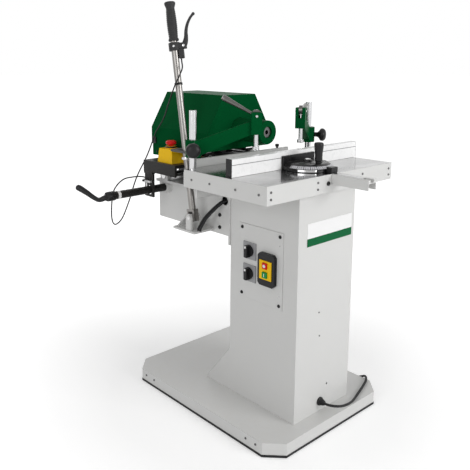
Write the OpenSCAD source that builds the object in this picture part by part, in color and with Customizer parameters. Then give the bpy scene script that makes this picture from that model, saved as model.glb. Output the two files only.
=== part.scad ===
/* [Base and column] */
// Width of the base plinth along X
base_w = 600; // [540:1:680]
// Depth of the base plinth along Y
base_d = 770; // [720:1:860]
// Height of the base top above the floor
base_h = 50; // [40:1:70]
// Leg of the chamfered base corners
base_chamfer = 57; // [30:1:80]
// Thickness of the rubber mat under the plinth
mat_t = 8; // [5:1:12]
// Width of the column along X
col_w = 296; // [270:1:330]
// Place of the column front face along Y
col_front = -331; // [-345:1:-320]
// Depth of the column along Y
col_d = 313; // [300:1:340]
// Height of the column top
col_top = 841; // [800:1:880]
// How far the foot flares out behind the column
flare_d = 130; // [60:1:180]
// Height of the flare above the base
flare_h = 164; // [80:1:220]
// Sheet thickness of column, beam and hood
sheet = 3; // [2:0.5:5]

/* [Table] */
// Length of the table along X
table_l = 650; // [640:1:700]
// Depth of the table along Y
table_d = 380; // [370:1:400]
// Height of the table frame between column and plate
frame_h = 40; // [30:1:60]
// Thickness of the ground table plate
plate_t = 20; // [16:1:30]
// Sheet thickness of the skirt
skirt_t = 2; // [1.5:0.5:4]
// How far the table front stands before the column
table_overhang = 23; // [10:1:40]
// Width of the mitre groove
groove_w = 19.2; // [15:0.1:22]
// Depth of the mitre groove
groove_h = 9.7; // [8:0.1:12]
// Length of the guide channel before the skirt
channel_l = 140; // [80:1:180]

/* [Mitre gauge and fence] */
// Length of the fence
fence_l = 650; // [500:1:680]
// Height of the fence
fence_h = 58; // [40:1:60]
// Thickness of the fence
fence_t = 26; // [18:1:30]
// Place of the fence front face along Y
fence_front = -192; // [-200:1:-185]
// Radius of the protractor
protractor_r = 88; // [70:1:95]
// Height of the protractor over the table
protractor_h = 24; // [20:1:32]

/* [Clamps] */
post_inset = 25; // [15:1:35]
// Place of the clamp posts along Y
post_y = 10; // [5:1:15]
// Diameter of the clamp posts
post_d = 25; // [20:1:28]
// Height of the post tops
post_top = 1100; // [1080:1:1130]
// Reach of the clamp arms from post to rod
arm_reach = 212; // [200:1:220]
// Height of the middle of the post boss
boss_z = 972; // [965:1:980]
// Height of the eccentric pivot
cam_z = 1081; // [1075:1:1090]
// Angle of the left arm at rest
left_angle = -40; // [-45:1:-35]
// Angle of the right arm at rest
right_angle = 212; // [208:1:216]
// Diameter of the clamp rods
clamp_rod_d = 14; // [12:1:18]

/* [Head] */
// Height of the spindle axis
spindle_z = 1008; // [1004:1:1012]
// Place of the hood front along Y
hood_front = 93; // [85:1:100]
// Length of the hood along Y
hood_l = 337; // [325:1:350]
// Width of the hood over its lower sides
hood_w = 322; // [310:1:340]
// Width of the hood top
hood_top_w = 162; // [130:1:180]
// Height of the hood top
hood_top = 1137; // [1120:1:1160]
// Outside diameter of the spindle nose
nose_d = 86; // [80:1:90]
// How far the nose stands out of the hood
nose_l = 145; // [130:1:150]
// Diameter of the chuck
chuck_d = 38; // [34:1:40]
// Diameter of the motor
motor_d = 136; // [120:1:150]
// Diameter of the spindle shaft
shaft_d = 25; // [20:1:30]

/* [Slides] */
// Diameter of the rods along X
x_rod_d = 25; // [20:1:28]
// Diameter of the rods along Y
y_rod_d = 20; // [16:1:24]
// Height of the beam top
beam_top = 790; // [785:1:795]
// Height of the beam underside
beam_bottom = 640; // [610:1:660]
// Place of the beam rear end along Y
beam_rear = 400; // [390:1:420]
// Height of the top edge of the guide plate behind the table
guide_top = 928; // [915:1:929]

/* [Lever] */
// Place of the lever pivot along X
lever_x = -218; // [-222:1:-214]
// Place of the lever pivot along Y
lever_y = 107; // [104:1:110]
// Height of the lever pivot
lever_z = 700; // [697:1:703]
// Backward lean of the lever at rest
lever_lean = 9.4; // [8.5:0.1:10]
// Length of the lever from pivot to grip end
lever_l = 779; // [740:1:800]
// Diameter of the lever tube
lever_d = 25; // [22:1:28]
// Length of the rubber grip
grip_l = 140; // [110:1:150]

/* [Index bar] */
// Diameter of the index bar
bar_d = 30; // [24:1:32]
// Place of the index bar along Y
bar_y = 338; // [330:1:345]
// Height of the index bar axis
bar_z = 770; // [766:1:772]
// Distance of the bar end from the middle
bar_end = 405; // [390:1:420]

/* [Clearances] */
// Radial clearance of running fits
run_gap = 0.05; // [0.03:0.01:0.08]
// Gap between parts that pass each other
free_gap = 0.5; // [0.4:0.1:1]

/* [Hidden] */
$fn = 64;
eps = 0.01;
base_front = -base_d/2;
col_rear = col_front + col_d;
table_front = col_front - table_overhang;
table_rear = table_front + table_d;
plate_bottom = col_top + frame_h;
table_top = plate_bottom + plate_t;
panel_x = -col_w/2;
post_x = table_l/2 - post_inset;
panel_y = -167;
panel_z = 572;
panel_w = 205;
panel_h = 268;
panel_t = 2;
selector_y = -118;
selector_zs = [614, 533];
selector_w = 60;
switch_y = -205;
switch_z = 568;
switch_w = 76;
switch_h = 114;
switch_t = 14;
face_w = 54;
face_h = 66;
face_t = 3;
button_w = 20;
gland_x = -12;
gland_z = base_h + 37;
cord_d = 9;
bed_t = 10;
bed_w = 350;
bed_rear = 385;
bed_front = table_rear + 16;
guide_t = 12;
guide_w = 470;
guide_x = -29;
x_rod_z = beam_top + 28;
x_rod_ys = [150, 335];
x_support_h = 46;
x_support_t = 18;
carriage_z0 = beam_top + 52;
carriage_z1 = carriage_z0 + 43;
carriage_wall = 10;
carriage_x0 = -250;
carriage_x1 = 200;
carriage_y0 = 130;
carriage_y1 = 365;
notch_x = -178;
notch_y = 172;
y_rod_z = carriage_z1 + 20;
y_rod_x = 110;
y_support_t = 14;
y_support_ys = [carriage_y0 + 8, carriage_y1 - 8 - y_support_t];
y_bush_l = 74;
y_bush_y = y_support_ys[1] - y_bush_l - 3;
motor_plate_z = carriage_z1 + 40;
motor_plate_t = 10;
motor_plate_y0 = 168;
motor_plate_y1 = hood_front + hood_l - 12;
hood_knee = spindle_z - 6;
hood_low = carriage_z1 + 5;
hood_step = 215;
hood_high = guide_top + 7;
nose_front = hood_front - nose_l;
motor_y0 = 175;
motor_l = 225;
bearing_d = 52;
bearing_w = 15;
bearing_ys = [motor_y0 - 22, hood_front - 40];
nose_bore = chuck_d + 3;
ear_z = motor_plate_z + motor_plate_t + run_gap;
ear_t = 8;
ear_rim = 17;
plate_hw = 140;
skirt_in = hood_w/2 - sheet - 2;
eye_h = ear_z + ear_t/2 - lever_z;
eye_y = lever_y + eye_h*tan(lever_lean);
boss_d = 52;
boss_h = 58;
head_w = 36;
head_z0 = cam_z - 62;
knob_d = 50;
cam_r = 16;
cam_e = 5;
cam_w = 13;
rod_bottom = table_top + fence_h + 7;
pivot_y = fence_front - 46;
bar_l = bar_end - col_w/2;
notch_n = 6;
notch_pitch = 24;

// Shared shapes
module slab(x0, x1, y0, y1, z0, z1) { translate([x0, y0, z0]) cube([x1 - x0, y1 - y0, z1 - z0]); }
module rod_x(d, x0, x1) { translate([x0, 0, 0]) rotate([0, 90, 0]) cylinder(d = d, h = x1 - x0); }
module rod_y(d, y0, y1) { translate([0, y0, 0]) rotate([-90, 0, 0]) cylinder(d = d, h = y1 - y0); }
module prism_x(x0, x1) { translate([x0, 0, 0]) rotate([90, 0, 90]) linear_extrude(x1 - x0) children(); }
module prism_y(y0, y1) { translate([0, y1, 0]) rotate([90, 0, 0]) linear_extrude(y1 - y0) children(); }
module outward(y, z) { translate([panel_x - panel_t, y, z]) rotate([0, -90, 0]) children(); }
module at_lever() { translate([lever_x, lever_y, lever_z]) rotate([-lever_lean, 0, 0]) children(); }
module at_clamp(side) {
  translate([side * post_x, post_y, 0]) rotate([0, 0, side < 0 ? left_angle : right_angle]) children();
}
module chamfered(w, d, c) {
  polygon([[-w/2 + c, -d/2], [w/2 - c, -d/2], [w/2, -d/2 + c], [w/2, d/2 - c], [w/2 - c, d/2],
    [-w/2 + c, d/2], [-w/2, d/2 - c], [-w/2, -d/2 + c]]);
}

// A round tube swept along points, with one normal carried from ring to ring
function unit(v) = v / norm(v);
function along(p, i) = unit(p[min(i + 1, len(p) - 1)] - p[max(i - 1, 0)]);
function flat(n, t) = unit(n - t * (n * t));
function normals(p, n0) =
  [for (i = 0, n = flat(n0, along(p, 0)); i < len(p); i = i + 1, n = flat(n, along(p, min(i, len(p)
    - 1)))) n];
function blend4(a, b, c, d, t) =
  0.5 * (2*b + (c - a)*t + (2*a - 5*b + 4*c - d)*t*t + (3*b - a - 3*c + d)*t*t*t);
function curve(p, steps) = [for (i = [0 : len(p) - 2], k = [0 : steps - 1])
  blend4(p[max(i - 1, 0)], p[i], p[i + 1], p[min(i + 2, len(p) - 1)], k / steps), p[len(p) - 1]];
module tube(p, d, sides, n0) {
  ns = normals(p, n0);
  pts = [for (i = [0 : len(p) - 1], k = [0 : sides - 1])
    p[i] + d/2 * (ns[i] * cos(360*k/sides) + cross(along(p, i), ns[i]) * sin(360*k/sides))];
  last = (len(p) - 1) * sides;
  walls = [for (i = [0 : len(p) - 2], k = [0 : sides - 1]) let (a = i*sides + k, b = i*sides + (k + 1)
    % sides)
    each [[a, a + sides, b], [b, a + sides, b + sides]]];
  caps = [for (k = [1 : sides - 2]) each [[0, k, k + 1], [last, last + k + 1, last + k]]];
  polyhedron(points = pts, faces = concat(walls, caps), convexity = 10);
}

// Base and column
module base_plinth() {
  color("lightgray") difference() {
    translate([0, 0, mat_t]) linear_extrude(base_h - mat_t) chamfered(base_w, base_d, base_chamfer);
    translate([0, 0, mat_t - 1]) linear_extrude(base_h - mat_t - sheet + 1)
      chamfered(base_w - 2*sheet, base_d - 2*sheet, base_chamfer);
  }
}
module base_mat() {
  color("black") linear_extrude(mat_t) chamfered(base_w + 2, base_d + 2, base_chamfer);
}
module column_profile(t) {
  polygon([[col_front + t, base_h - t], [col_rear + flare_d - 1.6*t, base_h - t],
    [col_rear - t, base_h + flare_h - 0.4*t],
    [col_rear - t, col_top - t], [col_front + t, col_top - t]]);
}
module column_body() {
  color("gainsboro") difference() {
    prism_x(-col_w/2, col_w/2) column_profile(0);
    prism_x(-col_w/2 + sheet, col_w/2 - sheet) column_profile(sheet);
    for (z = selector_zs) outward(selector_y, z) translate([0, 0, -2*sheet - 2])
      cylinder(d = 32, h = 4*sheet);
    outward(switch_y, switch_z) translate([-33, -23, -3*sheet]) cube([66, 46, 4*sheet]);
    translate([gland_x, 0, gland_z]) rod_y(16, col_front - 1, col_front + sheet + 1);
    translate([25, 0, gland_z + 53]) rod_y(8, col_front - 1, col_front + sheet + 1);
    for (s = [-1, 1]) translate([s*35, col_rear - 2*sheet, beam_top - 95]) rotate([-90, 0, 0])
      cylinder(d = 30, h = 4*sheet);
  }
}
module screws() {
  sheet_screws();
  panel_screws();
}
module sheet_screws() {
  color("silver") {
    for (y = [85 - base_d/2, 130 - base_d/2, base_d/2 - 135, base_d/2 - 85])
      translate([0, y, base_h/2 + 6]) rod_x(8, -base_w/2 - 2.5, -base_w/2);
    for (x = [16 - table_l/2, 235 - table_l/2, table_l/2 - 175, table_l/2 - 16], z = [-20, -42])
      translate([x, 0, table_top + z]) rod_y(8, table_front - skirt_t - 2.5, table_front - skirt_t);
    for (y = [table_front + 30, table_front + 130, table_rear - 130, table_rear - 40])
      translate([0, y, table_top - 30]) rod_x(8, -table_l/2 - skirt_t - 2.5, -table_l/2 - skirt_t);
  }
}

// Switches on the column
module control_panel() {
  color("gainsboro") difference() {
    slab(panel_x - panel_t, panel_x, panel_y - panel_w/2, panel_y + panel_w/2, panel_z - panel_h/2,
      panel_z + panel_h/2);
    for (z = selector_zs) outward(selector_y, z) translate([0, 0, -panel_t - 1])
      cylinder(d = 32, h = panel_t + 2);
    outward(switch_y, switch_z) translate([-33, -23, -panel_t - 1]) cube([66, 46, panel_t + 2]);
  }
}
module panel_screws() {
  color("black") for (y = [-88, 88], z = [-120, 120]) outward(panel_y + y, panel_z + z)
    cylinder(d = 12, h = 3);
}
module selector_plates() {
  color("silver") for (z = selector_zs) outward(selector_y, z) difference() {
    union() {
      translate([-selector_w/2, -selector_w/2, 0]) cube([selector_w, selector_w, 4]);
      translate([0, 0, -46]) cylinder(d = 31, h = 47);
    }
    translate([0, 0, -22]) cylinder(d = 8 + 2*run_gap, h = 30);
  }
}
module selector_knob(z) {
  color("black") outward(selector_y, z) {
    translate([0, 0, -20]) cylinder(d = 8, h = 26);
    translate([0, 0, 4 + free_gap]) cylinder(d = 40, h = 7);
    translate([-21, -6, 4 + free_gap]) cube([42, 12, 20]);
  }
}
module selector_knob_upper() { selector_knob(selector_zs[0]); }
module selector_knob_lower() { selector_knob(selector_zs[1]); }
module button_wells() {
  for (x = [-16, 16]) translate([x - button_w/2 - free_gap, -button_w/2 - free_gap, switch_t - 11])
    cube([button_w + 2*free_gap, button_w + 2*free_gap, 30]);
}
module magnetic_switch() {
  color("black") outward(switch_y, switch_z) difference() {
    union() {
      linear_extrude(switch_t) chamfered(switch_h, switch_w, 9);
      translate([-32, -22, -52]) cube([64, 44, 53]);
    }
    button_wells();
  }
}
module switch_face() {
  color("yellow") outward(switch_y, switch_z) difference() {
    translate([-face_h/2, -face_w/2, switch_t]) cube([face_h, face_w, face_t]);
    button_wells();
  }
}
module switch_button(x) {
  outward(switch_y, switch_z) translate([x - button_w/2, -button_w/2, switch_t - 7])
    cube([button_w, button_w, face_t + 12]);
}
module stop_button() { color("red") switch_button(16); }
module start_button() { color("green") switch_button(-16); }

// Mains lead
module mains_gland() {
  color("black") translate([gland_x, 0, gland_z]) difference() {
    union() {
      rod_y(15.5, col_front - 1, col_front + 14);
      translate([0, col_front, 0]) rotate([90, 0, 0]) cylinder(d = 30, h = 8, $fn = 6);
      rod_y(22, col_front - 24, col_front - 7);
    }
    rod_y(cord_d + 1, col_front - 30, col_front + 20);
  }
}
coil_r = 46;
coil_at = [395, 70, 0];
coil_turns = 4.25;
coil_pitch = cord_d + 0.7;
cord_run = [[gland_x, -325, 87], [gland_x, -339, 87], [gland_x, -354, 87], [-8.7, -370.8, 87], [0.9, -385.1, 86.2],
  [15.2, -394.7, 84], [32, -398, 80.5], [54, -397.8, 75.8], [80, -393, 69.5], [116, -382, 61], [170, -363, 57],
  [226, -345, 57], [278, -326, 58.5], [307, -302, 55], [321, -272, 36], [325, -228, 13], [328, -150, 5.2],
  [345, -60, 4.7], [coil_at[0] - coil_r, 20, 4.6]];
coil_turn = [for (i = [0 : 24*coil_turns]) let (a = 180 - 15*i)
  coil_at + [coil_r*cos(a), coil_r*sin(a), 4.6 + coil_pitch*(floor(i/24) + max(0, i%24 - 12)/12)]];
coil_top = 4.6 + coil_pitch*floor(coil_turns);
tail_r = 45;
tail_flat = 30;
tail_l = tail_flat + tail_r*PI/2;
function tail_at(s) = let (a = max(0, s - tail_flat)/tail_r*180/PI) coil_at
  + [45 + min(s, tail_flat) + tail_r*sin(a), coil_r + tail_r*(1 - cos(a)), coil_top - (coil_top - 20)*pow(s/tail_l, 2)*(3 - 2*s/tail_l)];
plug_at = coil_at + [45 + tail_flat + tail_r, coil_r + tail_r + 14, 20];
coil_tail = concat([coil_at + [23, coil_r, coil_top]], [for (i = [0 : 12]) tail_at(tail_l*i/12)], [plug_at]);
cord_path = concat(curve(cord_run, 4), coil_turn, coil_tail);
cord_gap = min([for (i = [0 : len(cord_path) - 1], j = [i + 6 : 1 : len(cord_path) - 1])
  norm(cord_path[i] - cord_path[j])]) - cord_d;
echo(least_gap_of_the_cord_to_itself = cord_gap);
module mains_cord() { color("black") tube(cord_path, cord_d, 8, [0, 0, 1]); }
module mains_plug() {
  color("black") translate(plug_at) difference() {
    union() {
      rod_y(18, -12, 22);
      rod_y(38, 20, 62);
      for (x = [-9.5, 9.5]) translate([x, 0, 0]) rod_y(4.8, 60, 81);
    }
    rod_y(cord_d + 0.4, -20, 10);
  }
}

// Beam behind the column
module head_beam() {
  color("lightgray") difference() {
    union() {
      slab(-col_w/2, col_w/2, col_rear, beam_rear, beam_bottom, beam_top);
      slab(-col_w/2 - 5, col_w/2 + 5, col_rear, col_rear + 8, beam_bottom - 30, beam_top);
      translate([0, bar_y, bar_z]) rod_x(bar_d + 16, -col_w/2 - 24, -col_w/2 + 1);
    }
    slab(-col_w/2 + 4, col_w/2 - 4, col_rear + 10, beam_rear - 4, beam_bottom + 4, beam_top - 4);
    for (s = [-1, 1]) translate([s*35, 0, beam_top - 95]) rod_y(30, col_rear - 1, col_rear + 12);
    translate([0, 14, beam_top - 23]) rod_x(32, -col_w/2 - 1, -col_w/2 + 8);
    translate([0, bar_y, bar_z]) rod_x(bar_d + 2*run_gap, -col_w/2 - 30, -col_w/2);
    slab(-col_w, 0, bar_y - 40, bar_y + 40, beam_top, beam_top + 40);
  }
}
fork_in = 15.5;
fork_t = 8;
module lever_bracket() {
  color("lightgray") difference() {
    union() {
      slab(lever_x - 27, -col_w/2, lever_y - 37, lever_y + 83, lever_z - 52, lever_z - 44);
      prism_y(lever_y + 69, lever_y + 77)
        polygon([[-col_w/2, lever_z - 45], [-col_w/2, lever_z + 20], [lever_x - 17, lever_z - 45]]);
      for (s = [-1, 1]) {
        x = lever_x + s*(fork_in + fork_t/2);
        slab(x - fork_t/2, x + fork_t/2, lever_y - 14, lever_y + 14, lever_z - 45, lever_z);
        translate([0, lever_y, lever_z]) rod_x(28, x - fork_t/2, x + fork_t/2);
      }
    }
    translate([0, lever_y, lever_z]) rod_x(12 + 2*run_gap, lever_x - 40, lever_x + 40);
  }
}
module rail_bed() {
  color("lightgray") difference() {
    union() {
      slab(-bed_w/2, bed_w/2, bed_front, bed_rear, beam_top, beam_top + bed_t);
      slab(guide_x - guide_w/2, guide_x + guide_w/2, bed_front - guide_t, bed_front, beam_top, guide_top);
      for (s = [-1, 1], y = x_rod_ys) {
        x = s*(bed_w/2 - x_support_t/2);
        slab(x - x_support_t/2, x + x_support_t/2, y - 22, y + 22, beam_top + 2, beam_top + x_support_h);
      }
    }
    for (y = x_rod_ys) translate([0, y, x_rod_z]) rod_x(x_rod_d + 2*run_gap, -bed_w, bed_w);
  }
}
module x_rods() {
  color("silver") for (y = x_rod_ys) translate([0, y, x_rod_z]) rod_x(x_rod_d, -bed_w/2 - 3, bed_w/2 + 3);
}
module control_leads() {
  color("black") for (s = [0, 1]) translate([0, -12*s, 0])
    tube(curve([[-130, 18, 770], [-158, 20, 765], [-182, 36, 742], [-205, 60, 705], [-218, 76, 668],
      [-219, 78, 656]], 4), 8, 8, [0, 0, 1]);
}

// Table
module table_frame() {
  color("gray") difference() {
    slab(-table_l/2 + 14, table_l/2 - 14, table_front + 14, table_rear - 14, col_top, plate_bottom);
    slab(-table_l/2 + 20, table_l/2 - 20, table_front + 20, table_rear - 20, col_top + 6, plate_bottom + 1);
  }
}
module table_plate() {
  groove_strip();
  color("silver") difference() {
    slab(-table_l/2, table_l/2, table_front, table_rear, plate_bottom, table_top);
    slab(-groove_w/2, groove_w/2, table_front - 1, table_rear + 1, plate_bottom - 1, table_top + 1);
    for (s = [-1, 1]) translate([s*post_x, post_y, plate_bottom - 1])
      cylinder(d = post_d + 2*run_gap, h = plate_t + 2);
  }
}
module groove_strip() {
  color("silver") slab(run_gap - groove_w/2, groove_w/2 - run_gap, table_front, table_rear, plate_bottom,
    table_top - groove_h);
}
module table_skirt() {
  color("gainsboro") difference() {
    slab(-table_l/2 - skirt_t, table_l/2 + skirt_t, table_front - skirt_t, table_rear + skirt_t, col_top,
      table_top);
    slab(-table_l/2, table_l/2, table_front, table_rear, col_top - 1, table_top + 1);
    slab(-groove_w/2, groove_w/2, table_front - 9, table_front + 9, table_top - groove_h, table_top + 1);
    slab(-table_l, table_l, table_rear, table_rear + 9, table_top - groove_h, table_top + 1);
  }
}
module guide_channel() {
  color("gainsboro") difference() {
    slab(-21, 21, table_front - skirt_t - channel_l, table_front - skirt_t, table_top - 34, table_top - 1);
    slab(-groove_w/2, groove_w/2, table_front - 300, table_front, table_top - groove_h, table_top + 1);
    slab(-18, 18, table_front - 300, table_front - skirt_t - 4, table_top - 40, table_top - groove_h - 3);
  }
}
module clamp_posts() {
  color("silver") for (s = [-1, 1]) translate([s*post_x, post_y, plate_bottom])
    cylinder(d = post_d, h = post_top - plate_bottom);
}

// Mitre gauge and fence
bar_front = table_front - skirt_t - channel_l + 31;
bar_rear = fence_front + 130;
fence_wall = 4;
line_t = 1.6;
line_down = 18;
stud_r = 46;
head_z = table_top + free_gap;
handle_l = spindle_z - 12 - head_z - protractor_h - free_gap;
module mitre_bar() {
  color("gray") {
    slab(-groove_w/2 + 0.1, groove_w/2 - 0.1, bar_front, bar_rear, table_top - groove_h + 0.2,
      table_top - 0.2);
    translate([0, pivot_y, table_top - 2]) cylinder(d = 10, h = protractor_h + 7);
    translate([0, pivot_y - stud_r, table_top - 2]) cylinder(d = 8, h = protractor_h + 41);
  }
}
module half_disc(r, z0, z1) {
  translate([0, pivot_y, head_z]) intersection() {
    translate([0, 0, z0]) cylinder(r = r, h = z1 - z0);
    slab(-r, r, -r, fence_front - pivot_y, z0, z1);
  }
}
module mitre_head() {
  color("dimgray") difference() {
    union() {
      difference() {
        half_disc(protractor_r, 0, protractor_h);
        half_disc(protractor_r - 9, -1, protractor_h - 9);
      }
      slab(-82, 82, fence_front - 9, fence_front, head_z, head_z + 46);
      translate([0, pivot_y, head_z]) cylinder(d = 30, h = protractor_h + 7);
    }
    translate([0, pivot_y, head_z - 1]) cylinder(d = 10 + 2*run_gap, h = protractor_h + 20);
    translate([0, pivot_y, head_z - 1]) rotate([0, 0, -90 - 42]) rotate_extrude(angle = 84)
      translate([stud_r - 5, 0]) square([10, protractor_h + 20]);
  }
}
module mitre_handle() {
  color("black") translate([0, pivot_y - stud_r, head_z + protractor_h + free_gap]) difference() {
    union() {
      cylinder(d = 20, h = 6);
      translate([0, 0, 6]) cylinder(d = 32, h = handle_l - 6);
    }
    translate([0, 0, -1]) cylinder(d = 8 + 2*run_gap, h = 48);
  }
}
module fence() {
  color("white") difference() {
    slab(-fence_l/2 + 13, fence_l/2 + 13, fence_front, fence_front + fence_t, head_z, head_z + fence_h);
    slab(-fence_l, fence_l, fence_front - 1, fence_front + line_t, head_z + fence_h - line_down - line_t,
      head_z + fence_h - line_down);
    slab(-fence_l, fence_l, fence_front + fence_wall, fence_front + fence_t - fence_wall,
      head_z + fence_wall, head_z + fence_h - fence_wall);
  }
}

// Hold-down clamps, drawn along local X from the post
slot_w = cam_w + 2*free_gap;
slot_z = cam_z - cam_r - cam_e - 4;
module clamp_arm(side) {
  color("darkgreen") at_clamp(side) difference() {
    union() {
      translate([0, 0, boss_z - boss_h/2]) cylinder(d = boss_d, h = boss_h);
      rotate([90, 0, 0]) linear_extrude(22, center = true) polygon([[16, boss_z - 26], [16, boss_z + 27],
        [arm_reach - 10, cam_z - 14], [arm_reach - 10, head_z0 + 3]]);
      slab(arm_reach - head_w/2, arm_reach + head_w/2, -head_w/2, head_w/2, head_z0, cam_z + 13);
    }
    translate([0, 0, boss_z - boss_h]) cylinder(d = post_d + 2*run_gap, h = 2*boss_h);
    translate([0, 0, boss_z]) rod_y(10 + 2*run_gap, side < 0 ? -boss_d : 0, side < 0 ? 0 : boss_d);
    translate([arm_reach, 0, head_z0 - 1]) cylinder(d = clamp_rod_d + 2*run_gap, h = 100);
    slab(arm_reach - 30, arm_reach + 40, -slot_w/2, slot_w/2, slot_z, cam_z + 40);
    translate([arm_reach, 0, cam_z]) rod_y(8, -head_w, head_w);
  }
  color("silver") at_clamp(side) translate([arm_reach, 0, cam_z]) rod_y(8, -head_w/2 - 2, head_w/2 + 2);
}
module clamp_knob(side) {
  color("black") at_clamp(side) translate([0, 0, boss_z]) rotate([0, 0, side < 0 ? 180 : 0]) {
    rod_y(10, post_d/2 + free_gap, boss_d/2 + 6);
    rod_y(18, boss_d/2 + free_gap, boss_d/2 + 12);
    translate([0, boss_d/2 + 11, 0]) rotate([-90, 0, 0]) cylinder(d1 = 18, d2 = 30, h = 10);
    translate([0, boss_d/2 + 20, 0]) rotate([-90, 0, 0]) cylinder(d1 = 38, d2 = knob_d, h = 7);
    translate([0, boss_d/2 + 26, 0]) rotate([-90, 0, 0]) cylinder(d = knob_d, h = 8);
    translate([0, boss_d/2 + 33, 0]) rotate([-90, 0, 0]) cylinder(d1 = knob_d, d2 = 36, h = 10);
    translate([0, boss_d/2 + 42, 0]) rotate([-90, 0, 0]) cylinder(d1 = 36, d2 = 16, h = 4);
  }
}
module clamp_cam(side) {
  tilt = side < 0 ? -61 : -85;
  color("silver") at_clamp(side) translate([arm_reach, 0, cam_z]) difference() {
    union() {
      translate([0, 0, cam_e]) rod_y(2*cam_r, -cam_w/2, cam_w/2);
      rotate([0, tilt, 0]) translate([0, 0, 8]) cylinder(d1 = 10, d2 = 11, h = 40);
      rotate([0, tilt, 0]) translate([0, 0, 47]) cylinder(d1 = 12, d2 = 21, h = 76);
      rotate([0, tilt, 0]) translate([0, 0, 122]) cylinder(d1 = 21, d2 = 17, h = 8);
    }
    rod_y(8 + 2*run_gap, -cam_w, cam_w);
  }
}
module clamp_rod(side) {
  color("silver") at_clamp(side) translate([arm_reach, 0, 0]) {
    translate([0, 0, rod_bottom + 11]) cylinder(d = clamp_rod_d,
      h = cam_z - cam_r + cam_e - free_gap - rod_bottom - 11);
    translate([0, 0, rod_bottom]) cylinder(d = 24, h = 12);
  }
}
module clamp_arm_left() { clamp_arm(-1); }
module clamp_knob_left() { clamp_knob(-1); }
module clamp_cam_left() { clamp_cam(-1); }
module clamp_rod_left() { clamp_rod(-1); }
module clamp_arm_right() { clamp_arm(1); }
module clamp_knob_right() { clamp_knob(1); }
module clamp_cam_right() { clamp_cam(1); }
module clamp_rod_right() { clamp_rod(1); }

// Cross carriage
module carriage() {
  color("darkslategray") difference() {
    union() {
      slab(carriage_x0, carriage_x1, carriage_y0, carriage_y1, carriage_z1 - 12, carriage_z1);
      slab(carriage_x0, carriage_x0 + carriage_wall, carriage_y0, carriage_y1, carriage_z0, carriage_z1);
      slab(carriage_x1 - carriage_wall, carriage_x1, carriage_y0, carriage_y1, carriage_z0, carriage_z1);
      for (s = [-1, 1], y = y_support_ys)
        slab(s*y_rod_x - 18, s*y_rod_x + 18, y, y + y_support_t, carriage_z1 - 1, motor_plate_z - 5);
    }
    slab(carriage_x0 - 1, notch_x, carriage_y0 - 1, notch_y, carriage_z0 - 1, carriage_z1 + 1);
    for (s = [-1, 1]) translate([s*y_rod_x, 0, y_rod_z])
      rod_y(y_rod_d + 2*run_gap, carriage_y0 - 9, carriage_y1 + 9);
  }
}
module x_bushes() {
  color("dimgray") for (s = [-1, 1], y = x_rod_ys) difference() {
    slab(s*60 - 22, s*60 + 22, y - 24, y + 24, beam_top + bed_t + 3, carriage_z1 - 12);
    translate([0, y, x_rod_z]) rod_x(x_rod_d + 2*run_gap, -150, 150);
  }
}
module y_rods() {
  color("silver") for (s = [-1, 1]) translate([s*y_rod_x, 0, y_rod_z])
    rod_y(y_rod_d, y_support_ys[0] - 2, y_support_ys[1] + y_support_t + 2);
}
estop_x = -204;
estop_y = 251;
module estop_box() {
  color("gold") translate([estop_x, estop_y, carriage_z1]) difference() {
    union() {
      linear_extrude(52, scale = 0.86) square([62, 88], center = true);
      translate([0, 0, 50]) cylinder(d = 40, h = 12);
    }
    translate([0, 0, 26]) cylinder(d = 22 + 2*free_gap, h = 60);
  }
}
module estop_button() {
  color("red") translate([estop_x, estop_y, carriage_z1]) {
    translate([0, 0, 34]) cylinder(d = 22, h = 36);
    translate([0, 0, 67]) cylinder(d1 = 40, d2 = 34, h = 14);
  }
}
latch_x = carriage_x0 + 12;
pawl_z = bar_z + bar_d/2 + 20;
module latch_bracket() {
  color("black") difference() {
    union() {
      slab(latch_x - 8, latch_x, bar_y - 26, bar_y + 26, bar_z - 26, carriage_z0);
      slab(latch_x - 12, latch_x + 2, bar_y - 26, bar_y + 26, carriage_z0 - 8, carriage_z0);
      translate([0, bar_y + 20, pawl_z]) rod_x(6, latch_x - 24, latch_x - 2);
    }
    translate([0, bar_y, bar_z]) rod_x(bar_d + 8, latch_x - 20, latch_x + 20);
  }
}
module latch_pawl() {
  color("gray") difference() {
    union() {
      translate([0, bar_y + 20, pawl_z]) rod_x(14, latch_x - 20, latch_x - 10);
      slab(latch_x - 20, latch_x - 10, bar_y - 22, bar_y + 20, pawl_z - 4, pawl_z + 4);
      slab(latch_x - 20, latch_x - 10, bar_y - 4, bar_y + 4, bar_z + bar_d/2 + free_gap, pawl_z);
    }
    translate([0, bar_y + 20, pawl_z]) rod_x(6 + 2*run_gap, latch_x - 30, latch_x);
  }
}

// Drilling head
module motor_plate() {
  lever_plate();
  color("dimgray") difference() {
    union() {
      slab(-plate_hw, plate_hw, motor_plate_y0, motor_plate_y1, motor_plate_z,
        motor_plate_z + motor_plate_t);
      slab(-skirt_in, skirt_in, hood_step + 2, motor_plate_y1, motor_plate_z, motor_plate_z + motor_plate_t);
      for (s = [-1, 1])
        slab(s*y_rod_x - 17, s*y_rod_x + 17, y_bush_y, y_bush_y + y_bush_l, carriage_z1 + 4,
          motor_plate_z + 1);
    }
    for (s = [-1, 1]) translate([s*y_rod_x, 0, y_rod_z])
      rod_y(y_rod_d + 2*run_gap, y_bush_y - 9, y_bush_y + y_bush_l + 9);
  }
}
module lever_plate() {
  color("dimgray") difference() {
    slab(lever_x - 24, -64, eye_y - 26 - ear_rim, eye_y + 42 + ear_rim, ear_z, ear_z + ear_t);
    slab(lever_x - 16, lever_x + 16, eye_y - 26, eye_y + 26, ear_z - 1, ear_z + ear_t + 1);
  }
}
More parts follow.
